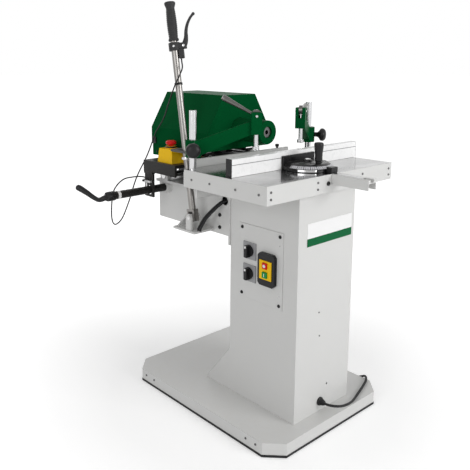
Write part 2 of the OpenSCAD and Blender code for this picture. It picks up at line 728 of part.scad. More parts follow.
module motor() {
  color("dimgray") translate([0, 0, spindle_z]) difference() {
    union() {
      rod_y(motor_d, motor_y0, motor_y0 + motor_l);
      slab(-55, 55, motor_y0 + 20, motor_y0 + motor_l - 20, motor_plate_z + motor_plate_t - spindle_z, -20);
    }
    rod_y(shaft_d + 4, motor_y0 - 1, motor_y0 + 150);
  }
}
module hood_profile(t) {
  polygon([[-hood_w/2 + t, hood_low - t], [-hood_w/2 + t, hood_knee - 0.4*t],
    [-hood_top_w/2 + 0.6*t, hood_top - t],
    [hood_top_w/2 - 0.6*t, hood_top - t], [hood_w/2 - t, hood_knee - 0.4*t], [hood_w/2 - t, hood_low - t]]);
}
module hood() {
  color("green") difference() {
    prism_y(hood_front, hood_front + hood_l) hood_profile(0);
    prism_y(hood_front + sheet, hood_front + hood_l - sheet) hood_profile(sheet);
    slab(-hood_w, hood_w, hood_front - 1, hood_front + hood_l + 9, hood_low - 9, hood_high);
    slab(-hood_w, 0, eye_y - 29 - ear_rim, eye_y + 45 + ear_rim, hood_high - 1, ear_z + ear_t + 2);
    translate([0, 0, spindle_z]) rod_y(nose_d + 1, hood_front - 9, hood_front + 9);
  }
}
module hood_skirts() {
  color("green") for (s = [-1, 1]) {
    x = s*(skirt_in + 1);
    slab(x - 1, x + 1, hood_step, hood_front + hood_l - sheet, hood_low, hood_high + 14);
  }
}
module spindle_nose() {
  color("green") translate([0, 0, spindle_z]) difference() {
    rod_y(nose_d, nose_front, motor_y0);
    rod_y(nose_bore, nose_front - 1, motor_y0 + 1);
  }
}
module spindle_bearings() {
  color("silver") translate([0, 0, spindle_z]) for (y = bearing_ys) difference() {
    rod_y(nose_bore - 0.02, y, y + bearing_w);
    rod_y(shaft_d + 2*run_gap, y - 1, y + bearing_w + 1);
  }
}
chuck_l = 62;
module spindle_shaft() {
  color("silver") translate([0, 0, spindle_z]) rod_y(shaft_d, nose_front + 6 + chuck_l, motor_y0 + 140);
}
module chuck() {
  color("gray") translate([0, 0, spindle_z]) difference() {
    rod_y(chuck_d, nose_front + 6, nose_front + 6 + chuck_l);
    rod_y(16, nose_front, nose_front + 6 + 44);
  }
}

// Control lever, drawn along local Z from its pivot
yoke_in = 12.5;
yoke_t = 7;
module gimbal_block() {
  color("gray") at_lever() difference() {
    union() {
      slab(-15, 15, -12, 12, -15, 15);
      rod_x(12, -fork_in - fork_t, fork_in + fork_t);
    }
    rod_y(10 + 2*run_gap, -20, 20);
  }
}
module lever_tube() {
  color("silver") at_lever() {
    for (s = [-1, 1]) slab(-11, 11, s*(yoke_in + yoke_t/2) - yoke_t/2, s*(yoke_in + yoke_t/2)
      + yoke_t/2, -12, 31);
    slab(-11, 11, -yoke_in - yoke_t, yoke_in + yoke_t, 23, 31);
    rod_y(10, -yoke_in - yoke_t, yoke_in + yoke_t);
    translate([0, 0, 30]) cylinder(d = lever_d, h = lever_l - 40);
  }
}
module lever_grip() {
  color("black") at_lever() difference() {
    translate([0, 0, lever_l - grip_l]) rotate_extrude() polygon([[0, 0], [19, 0], [19, 6], [15.5, 14],
      [16.5, 60],
      [15.5, grip_l - 22], [20, grip_l - 8], [20, grip_l - 3], [17, grip_l], [0, grip_l]]);
    translate([0, 0, lever_l - grip_l - 1]) cylinder(d = lever_d + 2*run_gap, h = grip_l - 8);
  }
}
squeeze_s = lever_l - grip_l - 34;
squeeze_r = 34;
module at_squeeze() { at_lever() rotate([0, 0, -45]) translate([squeeze_r, 0, squeeze_s + 14]) children(); }
module squeeze_bracket() {
  color("black") at_lever() difference() {
    union() {
      translate([0, 0, squeeze_s]) cylinder(d = lever_d + 16, h = 28);
      rotate([0, 0, -45]) for (s = [-1, 1]) slab(14, squeeze_r + 9, s*10.5 - 3, s*10.5 + 3,
        squeeze_s + 4, squeeze_s + 24);
      rotate([0, 0, -45]) translate([squeeze_r, 0, squeeze_s + 14]) rod_y(6, -13.5, 13.5);
      rotate([0, 0, -45]) translate([20, 0, squeeze_s - 12]) cylinder(d = 9, h = 22);
    }
    translate([0, 0, squeeze_s - 20]) cylinder(d = lever_d + 2*run_gap, h = 60);
  }
}
module squeeze_lever() {
  color("black") at_squeeze() difference() {
    union() {
      rod_y(16, -6.5, 6.5);
      rotate([90, 0, 0]) linear_extrude(13, center = true) polygon([[-6, 2], [8, -3], [17, 14], [19, 33],
        [20, 52], [26, 72], [37, 91], [50, 108], [44, 113], [27, 96], [15, 76], [8, 52], [4, 32], [-3, 15]]);
    }
    rod_y(6 + 2*run_gap, -10, 10);
  }
}
bowden_d = 5;
bowden_route = [[-203.9, 189.8, 1286.8], [-204, 184, 1258], [-222, 160, 1235], [-238, 160, 1205],
  [-240, 180, 1175], [-215, 250, 1105], [-192, 310, 1045],
  [-178, 380, 985], [-174, 408, 946], [-205, 405, 890], [-262, 388, 825], [-295, 374, 780],
    [-315, 374, 730],
  [-345, 380, 665], [-375, 382, 646], [-392, 378, 672], [-393, 374, 735], [-380, 374, 785],
    [-340, 376, 816], [-298, 370, 822], [-266, 352, 822], [-253, 332, 814]];
module bowden_cable() { color("black") tube(curve(bowden_route, 4), bowden_d, 8, [0, 0, 1]); }

// Index bar
module index_bar() {
  color("black") difference() {
    translate([0, bar_y, bar_z]) rod_x(bar_d, -bar_end, -col_w/2 - 4);
    for (i = [0 : notch_n - 1]) translate([-bar_end + 30 + i*notch_pitch, bar_y, bar_z + bar_d/2])
      rotate([0, 45, 0]) cube([6, 60, 6], center = true);
    translate([0, bar_y, bar_z]) rod_x(10, -bar_end - 1, -bar_end + 30);
  }
}
module bar_handle() {
  color("black") {
    translate([0, bar_y, bar_z]) rod_x(10, -bar_end - 4, -bar_end + 28);
    translate([0, bar_y, bar_z]) rod_x(36, -bar_end - 34, -bar_end);
    hull() {
      translate([-bar_end - 20, bar_y + 6, bar_z]) sphere(d = 24, $fn = 24);
      translate([-bar_end - 50, bar_y + 30, bar_z - 14]) sphere(d = 18, $fn = 24);
    }
    hull() {
      translate([-bar_end - 50, bar_y + 30, bar_z - 14]) sphere(d = 18, $fn = 24);
      translate([-bar_end - 98, bar_y + 92, bar_z + 30]) sphere(d = 24, $fn = 24);
    }
  }
}

base_plinth();
base_mat();
screws();
column_body();
control_panel();
selector_plates();
selector_knob_upper();
selector_knob_lower();
magnetic_switch();
switch_face();
start_button();
stop_button();
mains_gland();
mains_cord();
mains_plug();
head_beam();
lever_bracket();
rail_bed();
x_rods();
table_frame();
table_plate();
table_skirt();
guide_channel();
clamp_posts();
control_leads();
carriage();
x_bushes();
y_rods();
estop_box();
estop_button();
latch_bracket();
latch_pawl();
motor_plate();
motor();
hood();
hood_skirts();
spindle_nose();
spindle_bearings();
spindle_shaft();
chuck();
gimbal_block();
lever_tube();
lever_grip();
squeeze_bracket();
squeeze_lever();
bowden_cable();
index_bar();
bar_handle();
mitre_bar();
mitre_head();
mitre_handle();
fence();
clamp_arm_left();
clamp_knob_left();
clamp_cam_left();
clamp_rod_left();
clamp_arm_right();
clamp_knob_right();
clamp_cam_right();
clamp_rod_right();
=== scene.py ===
import math

import bpy
from mathutils import Matrix, Vector


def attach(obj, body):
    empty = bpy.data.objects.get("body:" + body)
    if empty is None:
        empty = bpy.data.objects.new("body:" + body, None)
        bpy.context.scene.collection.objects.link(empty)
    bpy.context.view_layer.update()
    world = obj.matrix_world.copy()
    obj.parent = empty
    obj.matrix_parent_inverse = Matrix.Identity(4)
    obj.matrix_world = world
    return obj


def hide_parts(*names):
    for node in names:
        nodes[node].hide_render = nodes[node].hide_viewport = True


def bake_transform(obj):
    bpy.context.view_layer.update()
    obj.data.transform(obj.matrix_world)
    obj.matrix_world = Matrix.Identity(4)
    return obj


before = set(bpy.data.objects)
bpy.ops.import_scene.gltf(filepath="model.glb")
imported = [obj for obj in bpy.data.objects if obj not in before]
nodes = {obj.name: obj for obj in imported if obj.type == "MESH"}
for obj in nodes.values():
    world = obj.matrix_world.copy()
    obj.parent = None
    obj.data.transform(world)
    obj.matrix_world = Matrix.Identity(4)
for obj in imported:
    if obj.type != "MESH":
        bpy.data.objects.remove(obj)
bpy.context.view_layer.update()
scene = bpy.context.scene
scene.view_settings.view_transform = "Standard"
print("frame loaded:", len(nodes), "nodes")


def m(*mm):
    return tuple(v / 1000 for v in mm)  # the sizes below are in millimetres


# camera, floor and light
cameraSet = {"place": (-1.643, -1.58, 1.274), "heading": 48.66, "pitch": 10.12, "lens": 47.86, "shift": (0.0629, -0.141)}
lightSet = {
    "key": {"place": (1.0, -4.4, 2.1), "size": 2.4, "power": 108},
    "side": {"place": (-4.2, -1.0, 1.9), "size": 2.2, "power": 42},
    "back": {"place": (-0.6, 3.8, 3.0), "size": 2.4, "power": 26},
    "ambient": 0.42, "floorGlow": (0.55, 1.7, 0.30, 0.74),
}


def makeCamera():
    data = bpy.data.cameras.new("mainCamera")
    data.sensor_width = 36
    data.lens = cameraSet["lens"]
    data.shift_x, data.shift_y = cameraSet["shift"]
    data.clip_end = 60
    cam = bpy.data.objects.new("mainCamera", data)
    scene.collection.objects.link(cam)
    turn, dip = math.radians(cameraSet["heading"]), math.radians(cameraSet["pitch"])
    look = Vector((math.cos(turn) * math.cos(dip), math.sin(turn) * math.cos(dip), -math.sin(dip)))
    cam.location = cameraSet["place"]
    cam.rotation_euler = look.to_track_quat("-Z", "Y").to_euler()
    scene.camera = cam


def addLamp(name, place, size, power):
    data = bpy.data.lights.new(name, "AREA")
    data.size = size
    data.energy = power
    lamp = bpy.data.objects.new(name, data)
    scene.collection.objects.link(lamp)
    lamp.location = place
    lamp.rotation_euler = (Vector((0, 0, 0.75)) - Vector(place)).to_track_quat("-Z", "Y").to_euler()


def makeWorld():
    world = bpy.data.worlds.new("studio")
    scene.world = world
    world.use_nodes = True
    tree = world.node_tree
    tree.nodes.clear()
    out = tree.nodes.new("ShaderNodeOutputWorld")
    path = tree.nodes.new("ShaderNodeLightPath")
    soft = tree.nodes.new("ShaderNodeBackground")
    white = tree.nodes.new("ShaderNodeBackground")
    mix = tree.nodes.new("ShaderNodeMixShader")
    seen = tree.nodes.new("ShaderNodeMath")
    seenToo = tree.nodes.new("ShaderNodeMath")
    seen.operation = seenToo.operation = "MAXIMUM"
    soft.inputs["Color"].default_value = (1, 1, 1, 1)
    soft.inputs["Strength"].default_value = lightSet["ambient"]
    white.inputs["Color"].default_value = (1, 1, 1, 1)
    white.inputs["Strength"].default_value = 1.0
    tree.links.new(path.outputs["Is Camera Ray"], seen.inputs[0])
    tree.links.new(path.outputs["Is Glossy Ray"], seen.inputs[1])
    tree.links.new(seen.outputs[0], seenToo.inputs[0])
    tree.links.new(path.outputs["Is Transmission Ray"], seenToo.inputs[1])
    tree.links.new(seenToo.outputs[0], mix.inputs[0])
    tree.links.new(soft.outputs[0], mix.inputs[1])
    tree.links.new(white.outputs[0], mix.inputs[2])
    tree.links.new(mix.outputs[0], out.inputs["Surface"])


def makeFloor():  # pale floor that burns out to white away from the contact shadow
    bpy.ops.object.select_all(action="DESELECT")
    bpy.ops.mesh.primitive_plane_add(size=80, location=(0, 0, -0.001))
    floor = bpy.context.object
    floor.name = "floor"
    mat = bpy.data.materials.new("paleFloor")
    mat.use_nodes = True
    tree = mat.node_tree
    tree.nodes.clear()
    out = tree.nodes.new("ShaderNodeOutputMaterial")
    lit = tree.nodes.new("ShaderNodeBsdfDiffuse")
    glow = tree.nodes.new("ShaderNodeEmission")
    path = tree.nodes.new("ShaderNodeLightPath")
    seen = tree.nodes.new("ShaderNodeMath")
    level = tree.nodes.new("ShaderNodeMath")
    where = tree.nodes.new("ShaderNodeTexCoord")
    away = tree.nodes.new("ShaderNodeVectorMath")
    ramp = tree.nodes.new("ShaderNodeMapRange")
    both = tree.nodes.new("ShaderNodeAddShader")
    lit.inputs["Color"].default_value = (0.86, 0.86, 0.86, 1)
    seen.operation = "MAXIMUM"
    level.operation = "MULTIPLY"
    away.operation = "LENGTH"
    for socket, value in zip(ramp.inputs[1:], lightSet["floorGlow"]):
        socket.default_value = value
    tree.links.new(where.outputs["Object"], away.inputs[0])
    tree.links.new(away.outputs["Value"], ramp.inputs[0])
    tree.links.new(ramp.outputs[0], level.inputs[1])
    tree.links.new(path.outputs["Is Camera Ray"], seen.inputs[0])
    tree.links.new(path.outputs["Is Glossy Ray"], seen.inputs[1])
    tree.links.new(seen.outputs[0], level.inputs[0])
    tree.links.new(level.outputs[0], glow.inputs["Strength"])
    tree.links.new(lit.outputs[0], both.inputs[0])
    tree.links.new(glow.outputs[0], both.inputs[1])
    tree.links.new(both.outputs[0], out.inputs["Surface"])
    floor.data.materials.append(mat)


makeCamera()
makeWorld()
makeFloor()
for lampName in ("key", "side", "back"):
    addLamp(lampName, **lightSet[lampName])
print("camera, floor and light set")


# shader groups that several finishes share
def newGroup(name, inputs, outputs):
    group = bpy.data.node_groups.new(name, "ShaderNodeTree")
    for label, kind, value in inputs:
        socket = group.interface.new_socket(name=label, in_out="INPUT", socket_type=kind)
        if value is not None:
            socket.default_value = value
    for label, kind in outputs:
        group.interface.new_socket(name=label, in_out="OUTPUT", socket_type=kind)
    return group, group.nodes.new("NodeGroupInput"), group.nodes.new("NodeGroupOutput")


def feed(tree, socket, value):  # a plain value on the socket, or a link into it
    if isinstance(value, (int, float, tuple)):
        socket.default_value = value
    else:
        tree.links.new(value, socket)


def mathNode(tree, operation, a, b=None, clamp=False):
    node = tree.nodes.new("ShaderNodeMath")
    node.operation = operation
    node.use_clamp = clamp
    for socket, value in zip(node.inputs, (a, b)):
        if value is not None:
            feed(tree, socket, value)
    return node.outputs[0]


def noiseNode(tree, vector, scale, detail=3.0, rough=0.55):
    node = tree.nodes.new("ShaderNodeTexNoise")
    node.inputs["Detail"].default_value = detail
    node.inputs["Roughness"].default_value = rough
    feed(tree, node.inputs["Vector"], vector)
    feed(tree, node.inputs["Scale"], scale)
    return node.outputs["Fac"]


def rangeNode(tree, value, low, high, toLow, toHigh):
    node = tree.nodes.new("ShaderNodeMapRange")
    node.interpolation_type = "SMOOTHSTEP"
    for socket, given in zip(node.inputs, (value, low, high, toLow, toHigh)):
        feed(tree, socket, given)
    return node.outputs[0]


def blendColour(tree, share, first, second, mode="MIX"):
    node = tree.nodes.new("ShaderNodeMix")
    node.data_type = "RGBA"
    node.blend_type = mode
    for slot, given in ((0, share), (6, first), (7, second)):
        feed(tree, node.inputs[slot], given)
    return node.outputs[2]


def swing(tree, noise, amount):  # noise about zero, scaled
    return mathNode(tree, "MULTIPLY", mathNode(tree, "SUBTRACT", noise, 0.5), amount)


def buildPaintSkin():  # sprayed paint: fine peel, slow cloudiness and settled dust
    group, inn, out = newGroup(
        "paintSkin",
        [("Colour", "NodeSocketColor", (0.5, 0.5, 0.5, 1)), ("Peel", "NodeSocketFloat", 260.0),
         ("Cloud", "NodeSocketFloat", 0.06), ("Dust", "NodeSocketFloat", 0.1), ("Roughness", "NodeSocketFloat", 0.4)],
        [("Colour", "NodeSocketColor"), ("Roughness", "NodeSocketFloat"), ("Height", "NodeSocketFloat")],
    )
    where = group.nodes.new("ShaderNodeTexCoord").outputs["Object"]
    geometry = group.nodes.new("ShaderNodeNewGeometry")
    facing = group.nodes.new("ShaderNodeSeparateXYZ")
    group.links.new(geometry.outputs["Normal"], facing.inputs[0])
    slow = noiseNode(group, where, 4.5, 4.0)
    fine = noiseNode(group, where, inn.outputs["Peel"], 2.0)
    speck = noiseNode(group, where, 48.0, 5.0, 0.7)
    shade = mathNode(group, "ADD", swing(group, slow, inn.outputs["Cloud"]), 1.0)
    level = group.nodes.new("ShaderNodeCombineXYZ")
    for i in range(3):
        group.links.new(shade, level.inputs[i])
    tinted = blendColour(group, 1.0, inn.outputs["Colour"], level.outputs[0], "MULTIPLY")
    up = rangeNode(group, facing.outputs["Z"], 0.5, 0.95, 0.0, 1.0)
    specks = rangeNode(group, speck, 0.38, 0.68, 0.0, 1.0)
    dusty = mathNode(group, "MULTIPLY", mathNode(group, "MULTIPLY", up, inn.outputs["Dust"]), specks)
    coloured = blendColour(group, dusty, tinted, (0.62, 0.58, 0.52, 1))
    uneven = mathNode(group, "ADD", mathNode(group, "MULTIPLY", dusty, 0.35), swing(group, speck, 0.12))
    rough = mathNode(group, "ADD", inn.outputs["Roughness"], uneven, True)
    group.links.new(coloured, out.inputs["Colour"])
    group.links.new(rough, out.inputs["Roughness"])
    group.links.new(fine, out.inputs["Height"])
    return group


def buildEdgeWearAndHighlight():  # bare rub marks where a rounded normal leaves the flat one, partly a painted edge highlight where the rub colour is lighter than the paint
    group, inn, out = newGroup("edgeWearAndHighlight", [("Rounded", "NodeSocketVector", None), ("Amount", "NodeSocketFloat", 0.5)],
                               [("Mask", "NodeSocketFloat")])
    where = group.nodes.new("ShaderNodeTexCoord").outputs["Object"]
    geometry = group.nodes.new("ShaderNodeNewGeometry")
    dot = group.nodes.new("ShaderNodeVectorMath")
    dot.operation = "DOT_PRODUCT"
    group.links.new(inn.outputs["Rounded"], dot.inputs[0])
    group.links.new(geometry.outputs["Normal"], dot.inputs[1])
    edge = rangeNode(group, dot.outputs["Value"], 0.97, 0.80, 0.0, 1.0)
    patch = rangeNode(group, noiseNode(group, where, 38.0, 4.0), 0.42, 0.66, 0.0, 1.0)
    worn = mathNode(group, "MULTIPLY", edge, patch)
    group.links.new(mathNode(group, "MULTIPLY", worn, inn.outputs["Amount"]), out.inputs["Mask"])
    return group


def buildGrindMarks():  # long fine streaks, stretched by the scale vector
    group, inn, out = newGroup("grindMarks", [("Stretch", "NodeSocketVector", (6, 900, 900))],
                               [("Streak", "NodeSocketFloat"), ("Stain", "NodeSocketFloat")])
    where = group.nodes.new("ShaderNodeTexCoord").outputs["Object"]
    scale = group.nodes.new("ShaderNodeVectorMath")
    scale.operation = "MULTIPLY"
    group.links.new(where, scale.inputs[0])
    group.links.new(inn.outputs["Stretch"], scale.inputs[1])
    group.links.new(noiseNode(group, scale.outputs[0], 1.0, 3.0, 0.7), out.inputs["Streak"])
    group.links.new(noiseNode(group, where, 9.0, 4.0), out.inputs["Stain"])
    return group


def buildMouldGrain():  # spark-eroded plastic and rubber
    group, inn, out = newGroup(
        "mouldGrain",
        [("Size", "NodeSocketFloat", 900.0), ("Roughness", "NodeSocketFloat", 0.5), ("Scuff", "NodeSocketFloat", 0.1)],
        [("Height", "NodeSocketFloat"), ("Roughness", "NodeSocketFloat"), ("Wipe", "NodeSocketFloat")],
    )
    where = group.nodes.new("ShaderNodeTexCoord").outputs["Object"]
    cells = group.nodes.new("ShaderNodeTexVoronoi")
    group.links.new(where, cells.inputs["Vector"])
    group.links.new(inn.outputs["Size"], cells.inputs["Scale"])
    wipe = noiseNode(group, where, 26.0, 4.0)
    rough = mathNode(group, "ADD", inn.outputs["Roughness"], swing(group, wipe, inn.outputs["Scuff"]), True)
    group.links.new(cells.outputs["Distance"], out.inputs["Height"])
    group.links.new(rough, out.inputs["Roughness"])
    group.links.new(wipe, out.inputs["Wipe"])
    return group


groups = {"paint": buildPaintSkin(), "edge": buildEdgeWearAndHighlight(), "grind": buildGrindMarks(), "mould": buildMouldGrain()}


def placeGroup(tree, key, **values):
    node = tree.nodes.new("ShaderNodeGroup")
    node.node_tree = groups[key]
    for label, value in values.items():
        node.inputs[label].default_value = value
    return node


def startMaterial(name):
    mat = bpy.data.materials.new(name)
    mat.use_nodes = True
    tree = mat.node_tree
    return mat, tree, tree.nodes["Principled BSDF"]


def roundedNormal(tree, shader, height, strength, distance, radius):
    bump = tree.nodes.new("ShaderNodeBump")
    bump.inputs["Strength"].default_value = strength
    bump.inputs["Distance"].default_value = distance
    tree.links.new(height, bump.inputs["Height"])
    bevel = None
    if radius:
        bevel = tree.nodes.new("ShaderNodeBevel")
        bevel.samples = 3
        bevel.inputs["Radius"].default_value = radius
        tree.links.new(bevel.outputs["Normal"], bump.inputs["Normal"])
    tree.links.new(bump.outputs["Normal"], shader.inputs["Normal"])
    return bevel


def paintFinish(name, colour, rough, peel, cloud, dust, wearAndHighlight, wearAndHighlightColour, shine=0.5, radius=0.0016, peelDepth=0.05):
    mat, tree, shader = startMaterial(name)
    skin = placeGroup(tree, "paint", Colour=(*colour, 1), Peel=peel, Cloud=cloud, Dust=dust, Roughness=rough)
    bevel = roundedNormal(tree, shader, skin.outputs["Height"], peelDepth, 0.0006, radius)
    edge = placeGroup(tree, "edge", Amount=wearAndHighlight)
    tree.links.new(bevel.outputs["Normal"], edge.inputs["Rounded"])
    # edges blend to the rub colour: wear, and on the dark paints a painted edge highlight as well
    painted = blendColour(tree, edge.outputs["Mask"], skin.outputs["Colour"], (*wearAndHighlightColour, 1))
    tree.links.new(painted, shader.inputs["Base Color"])
    tree.links.new(skin.outputs["Roughness"], shader.inputs["Roughness"])
    shader.inputs["Specular IOR Level"].default_value = shine
    return mat


def metalFinish(name, colour, rough, stretch, spread, stain, depth=0.02, radius=0.0008):
    mat, tree, shader = startMaterial(name)
    marks = placeGroup(tree, "grind", Stretch=stretch)
    roundedNormal(tree, shader, marks.outputs["Streak"], depth, 0.0004, radius)
    low = tuple(c * (1 - stain) for c in colour)
    share = rangeNode(tree, marks.outputs["Stain"], 0.35, 0.7, 0.0, 1.0)
    tree.links.new(blendColour(tree, share, (*colour, 1), (*low, 1)), shader.inputs["Base Color"])
    streaks = rangeNode(tree, marks.outputs["Streak"], 0.25, 0.75, rough - spread, rough + spread)
    tree.links.new(streaks, shader.inputs["Roughness"])
    shader.inputs["Metallic"].default_value = 1.0
    return mat


def plasticFinish(name, colour, rough, size, depth, scuff, wipe=0.12, shine=0.5, radius=0.0010):
    mat, tree, shader = startMaterial(name)
    grain = placeGroup(tree, "mould", Size=size, Roughness=rough, Scuff=scuff)
    roundedNormal(tree, shader, grain.outputs["Height"], depth, 0.0004, radius)
    pale = tuple(min(1, c + wipe * (0.25 + c)) for c in colour)
    share = rangeNode(tree, grain.outputs["Wipe"], 0.45, 0.85, 0.0, 0.5)
    tree.links.new(blendColour(tree, share, (*colour, 1), (*pale, 1)), shader.inputs["Base Color"])
    tree.links.new(grain.outputs["Roughness"], shader.inputs["Roughness"])
    shader.inputs["Specular IOR Level"].default_value = shine
    return mat


# rub colours lighter than their paint (green, black, cast black, dark iron) are wear and also a painted edge highlight
paints = {
    "greyPaint": {"colour": (0.645, 0.645, 0.635), "rough": 0.40, "peel": 260.0, "cloud": 0.05, "dust": 0.10,
                  "wearAndHighlight": 0.30, "wearAndHighlightColour": (0.50, 0.50, 0.50)},
    "greenPaint": {"colour": (0.0014, 0.074, 0.020), "rough": 0.30, "peel": 230.0, "cloud": 0.16, "dust": 0.01,
                   "wearAndHighlight": 0.30, "wearAndHighlightColour": (0.008, 0.13, 0.045), "shine": 0.004, "peelDepth": 0.07},
    "blackPaint": {"colour": (0.020, 0.019, 0.018), "rough": 0.38, "peel": 280.0, "cloud": 0.25, "dust": 0.06,
                   "wearAndHighlight": 0.45, "wearAndHighlightColour": (0.16, 0.15, 0.14), "shine": 0.16},
    "castBlack": {"colour": (0.010, 0.010, 0.011), "rough": 0.26, "peel": 420.0, "cloud": 0.3, "dust": 0.02,
                  "wearAndHighlight": 0.4, "wearAndHighlightColour": (0.16, 0.16, 0.16), "shine": 0.25, "peelDepth": 0.12},
    "darkIron": {"colour": (0.06, 0.06, 0.062), "rough": 0.55, "peel": 500.0, "cloud": 0.3, "dust": 0.1,
                 "wearAndHighlight": 0.4, "wearAndHighlightColour": (0.3, 0.3, 0.3), "peelDepth": 0.2},
    "whiteLacquer": {"colour": (0.94, 0.94, 0.94), "rough": 0.28, "peel": 300.0, "cloud": 0.01, "dust": 0.01,
                     "wearAndHighlight": 0.08, "wearAndHighlightColour": (0.6, 0.6, 0.6), "radius": 0.0006},
}
metals = {
    "groundSteel": {"colour": (0.50, 0.50, 0.50), "rough": 0.15, "stretch": (5, 700, 700), "spread": 0.06, "stain": 0.26,
                    "depth": 0.012},
    "brightSteel": {"colour": (0.60, 0.60, 0.60), "rough": 0.24, "stretch": (300, 300, 300), "spread": 0.06, "stain": 0.12},
    "screwSteel": {"colour": (0.16, 0.16, 0.16), "rough": 0.36, "stretch": (300, 300, 300), "spread": 0.06, "stain": 0.2},
    "camSteel": {"colour": (0.13, 0.125, 0.12), "rough": 0.16, "stretch": (300, 300, 300), "spread": 0.05, "stain": 0.14},
    "chrome": {"colour": (0.62, 0.62, 0.63), "rough": 0.14, "stretch": (500, 500, 60), "spread": 0.03, "stain": 0.05,
               "depth": 0.006},
    "satinTube": {"colour": (0.25, 0.24, 0.23), "rough": 0.30, "stretch": (900, 900, 40), "spread": 0.07, "stain": 0.14},
}
plastics = {
    "rubber": {"colour": (0.016, 0.016, 0.017), "rough": 0.62, "size": 700.0, "depth": 0.25, "scuff": 0.2, "wipe": 0.05,
               "shine": 0.25},
    "gripGrey": {"colour": (0.030, 0.030, 0.031), "rough": 0.55, "size": 600.0, "depth": 0.3, "scuff": 0.2, "wipe": 0.06,
                 "shine": 0.25},
    "blackPlastic": {"colour": (0.010, 0.010, 0.011), "rough": 0.34, "size": 900.0, "depth": 0.12, "scuff": 0.15,
                     "wipe": 0.04, "shine": 0.22},
    "greyPlastic": {"colour": (0.30, 0.30, 0.31), "rough": 0.42, "size": 900.0, "depth": 0.1, "scuff": 0.12},
    "yellowPlastic": {"colour": (0.93, 0.56, 0.006), "rough": 0.34, "size": 800.0, "depth": 0.06, "scuff": 0.12,
                      "wipe": 0.03, "shine": 0.15},
    "redPlastic": {"colour": (0.62, 0.010, 0.010), "rough": 0.28, "size": 800.0, "depth": 0.05, "scuff": 0.12,
                   "wipe": 0.03, "shine": 0.15},
    "greenPlastic": {"colour": (0.004, 0.27, 0.06), "rough": 0.30, "size": 800.0, "depth": 0.05, "scuff": 0.12,
                     "wipe": 0.03, "shine": 0.15},
    "whitePlastic": {"colour": (0.85, 0.85, 0.85), "rough": 0.35, "size": 800.0, "depth": 0.04, "scuff": 0.1, "wipe": 0.0},
    "plateGreen": {"colour": (0.002, 0.115, 0.036), "rough": 0.32, "size": 800.0, "depth": 0.02, "scuff": 0.1,
                   "wipe": 0.0, "shine": 0.05},
}
finishes = {}
for maker, family in ((paintFinish, paints), (metalFinish, metals), (plasticFinish, plastics)):
    for finishName, values in family.items():
        finishes[finishName] = maker(finishName, **values)
finishOfNode = {
    "greyPaint": ["base_plinth", "column_body", "control_panel", "head_beam", "lever_bracket", "rail_bed", "table_frame",
                  "table_skirt", "guide_channel"],
    "greenPaint": ["hood", "hood_skirts", "spindle_nose", "clamp_arm_left", "clamp_arm_right"],
    "blackPaint": ["carriage", "latch_bracket", "index_bar"],
    "castBlack": ["mitre_head"],
    "groundSteel": ["table_plate"],
    "brightSteel": ["screws", "x_rods", "y_rods", "spindle_shaft", "spindle_bearings", "gimbal_block", "mitre_bar",
                    "latch_pawl"],
    "chrome": ["clamp_posts", "clamp_rod_left", "clamp_rod_right"],
    "satinTube": ["lever_tube"],
    "camSteel": ["clamp_cam_left", "clamp_cam_right"],
    "screwSteel": ["chuck"],
    "whiteLacquer": ["fence"],
    "darkIron": ["x_bushes", "motor_plate", "motor"],
    "rubber": ["base_mat", "mains_cord", "mains_plug", "control_leads", "lever_grip", "bowden_cable"],
    "blackPlastic": ["selector_knob_upper", "selector_knob_lower", "magnetic_switch", "mains_gland", "squeeze_bracket",
                     "squeeze_lever", "bar_handle", "mitre_handle", "clamp_knob_left", "clamp_knob_right"],
    "greyPlastic": ["selector_plates"],
    "yellowPlastic": ["switch_face", "estop_box"],
    "redPlastic": ["stop_button", "estop_button"],
    "greenPlastic": ["start_button"],
}
for finishName, members in finishOfNode.items():
    for member in members:
        nodes[member].data.materials.clear()
        nodes[member].data.materials.append(finishes[finishName])
print("finishes made:", len(finishes))


# modelling helpers: each piece starts from a primitive and ends with its place in its mesh
def freshStart():
    if bpy.context.mode != "OBJECT":
        bpy.ops.object.mode_set(mode="OBJECT")
    bpy.ops.object.select_all(action="DESELECT")


def makeOnly(piece):
    freshStart()
    piece.select_set(True)
    bpy.context.view_layer.objects.active = piece


def block(low, high, rounding=1.0, steps=2):  # a box with its edges rounded
    freshStart()
    middle = [(a + b) / 2000 for a, b in zip(low, high)]
    bpy.ops.mesh.primitive_cube_add(size=1, location=middle, scale=[(b - a) / 1000 for a, b in zip(low, high)])
    bpy.ops.object.transform_apply(location=True, rotation=True, scale=True)
    bpy.ops.object.mode_set(mode="EDIT")
    bpy.ops.mesh.select_all(action="SELECT")
    bpy.ops.mesh.bevel(offset=rounding / 1000, segments=steps, affect="EDGES")
    bpy.ops.object.mode_set(mode="OBJECT")
    return bpy.context.object


def turned(rings, sides=40):  # a disc extruded and scaled from ring to ring, (radius, height) in mm
    freshStart()
    radius, height = rings[0]
    bpy.ops.mesh.primitive_circle_add(vertices=sides, radius=radius / 1000, fill_type="NGON", location=(0, 0, height / 1000))
    bpy.ops.object.transform_apply(location=True, rotation=True, scale=True)
    bpy.ops.object.mode_set(mode="EDIT")
    bpy.ops.mesh.select_all(action="SELECT")
    for nextRadius, nextHeight in rings[1:]:
        bpy.ops.mesh.extrude_region_move(TRANSFORM_OT_translate={"value": (0, 0, (nextHeight - height) / 1000)})
        share = nextRadius / radius
        bpy.ops.transform.resize(value=(share, share, 1), center_override=(0, 0, nextHeight / 1000))
        radius, height = nextRadius, nextHeight
    bpy.ops.mesh.select_all(action="SELECT")
    bpy.ops.mesh.remove_doubles(threshold=0.00001)
    bpy.ops.mesh.normals_make_consistent(inside=False)
    bpy.ops.object.mode_set(mode="OBJECT")
    bpy.ops.object.shade_smooth_by_angle(angle=math.radians(38))
    return bpy.context.object


